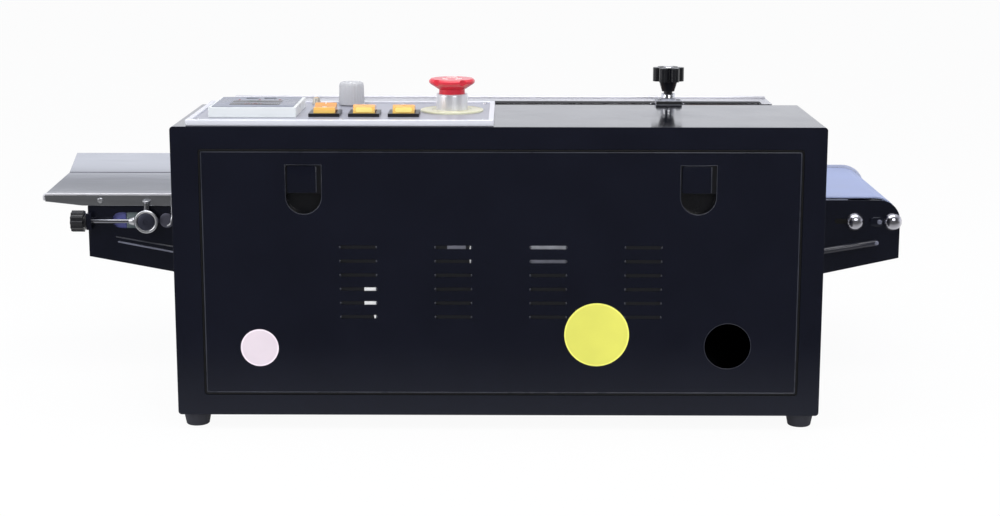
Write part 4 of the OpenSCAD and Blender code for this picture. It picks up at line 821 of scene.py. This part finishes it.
for side, y, way in (("near", ROD_NEAR, FACE), ("far", ROD_FAR, AWAY)):
    body = "tension_" + side
    centre = at(TENSION_X, y, AXLE_Z)
    add_turned(f"tension_axle_end_{side}", axle_end, centre + way * 3.55 * MM, way, axle_steel,
               "infeed_axle", steps=36)
    add_turned(f"tension_ring_rim_{side}", ring_rim, centre + way * 2.95 * MM, way, nickel, "infeed_axle",
               steps=48)
    add_turned(f"set_screw_head_{side}", set_screw, at(TENSION_X, y, 166.6), UP, nickel, "infeed_axle",
               steps=24)
    add_turned(f"tension_rod_sleeve_{side}", sleeve, at(-352.6, y, AXLE_Z), LEFT, rod_steel, body,
               steps=24)
    add_turned(f"tension_nut_{side}", nut, at(-358.2, y, AXLE_Z), RIGHT, nickel, body, steps=24)
    add_turned(f"tension_knob_washer_{side}", washer, at(-398.95, y, AXLE_Z), LEFT, matt_black, body,
               steps=32)
    add_turned(f"tension_knob_cap_{side}", knob_cap, at(-413.1, y, AXLE_Z), LEFT, knob_black, body,
               steps=32)

# A light rail closes the gap between the belt's far edge and its side plate. The tray's near edge is
# rolled, and its paler, duller steel is painted highlight: a bright line that runs into the bare left
# corner.
guide_nylon = finish("guide_nylon", paint(182, 188, 208), 0.5, mottle=0.05, grain=900, bump=0.1)
ROLLER_X, BELT_R, RAIL_R = 363, 22, 27
arc = [(BELT_R, math.radians(90 - 6 * i)) for i in range(14)]
arc += [(RAIL_R - 0.015 * i * i, math.radians(90 - 6 * i)) for i in range(13, -1, -1)]
rail = [(-238, AXLE_Z + RAIL_R), (-250, AXLE_Z + BELT_R)]
rail += [(ROLLER_X + reach * math.cos(turn), AXLE_Z + reach * math.sin(turn)) for reach, turn in arc]
add_plate("belt_rail_far", rail, at(0, 385.6, 0), RIGHT, UP, 1.1, 0.25, guide_nylon, "conveyor")
TRAY_EDGE, TRAY_TOP = 197.3, 174.6
corner = ((-440.2, 168.4), (-440.5, 169.6), (-440.6, 171.4), (-440.4, 173.2), (-439.6, 174.3),
          (-438.4, TRAY_TOP))
roll = [at(x, TRAY_EDGE, z) for x, z in corner] + [at(-430 + 23 * i, TRAY_EDGE, TRAY_TOP) for i in range(11)]
# A darker steel line along the tray's far bend is painted shade in the crease.
crease = [at(-436.6 + 23.5 * i, 289, 181.55) for i in range(11)]
crease_shade_steel = finish("crease_shade_steel", paint(120, 120, 130), 0.5, metal=0.6, mottle=0.1, stretch=(1, 12, 12),
                      grain=260, bump=0.05)
tray_edge_highlight_steel = finish("tray_edge_highlight_steel", paint(222, 221, 226), 0.5, metal=0.6, mottle=0.05,
                         stretch=(1, 12, 12), grain=260, bump=0.05)
add_sweep("tray_crease", crease, [0.5] * 11, crease_shade_steel, "conveyor", steps=12)
add_sweep("tray_roll", roll, [0.6, 1.05] + [1.25] * 15, tray_edge_highlight_steel, "conveyor", steps=20)

# The tray's lip is screwed to the near plate, and a spring wire stay braces it by the casing.
for i, x in enumerate((-386, -252)):
    add_screw(f"tray_screw_{i + 1}", at(x, 196.5, 168.8), FACE, 2.7, "conveyor", nickel)
stay = [at(-316.6, 194.4, 174 - i * 2.6) for i in range(9)]
hook = [math.pi / 2 * i / 8 for i in range(9)]
stay += [at(-316.8 - 4.5 * (1 - math.cos(turn)), 191.8, 151 - 6 * math.sin(turn)) for turn in hook]
add_sweep("tray_stay", stay, [0.8] * len(stay), nickel, "conveyor")
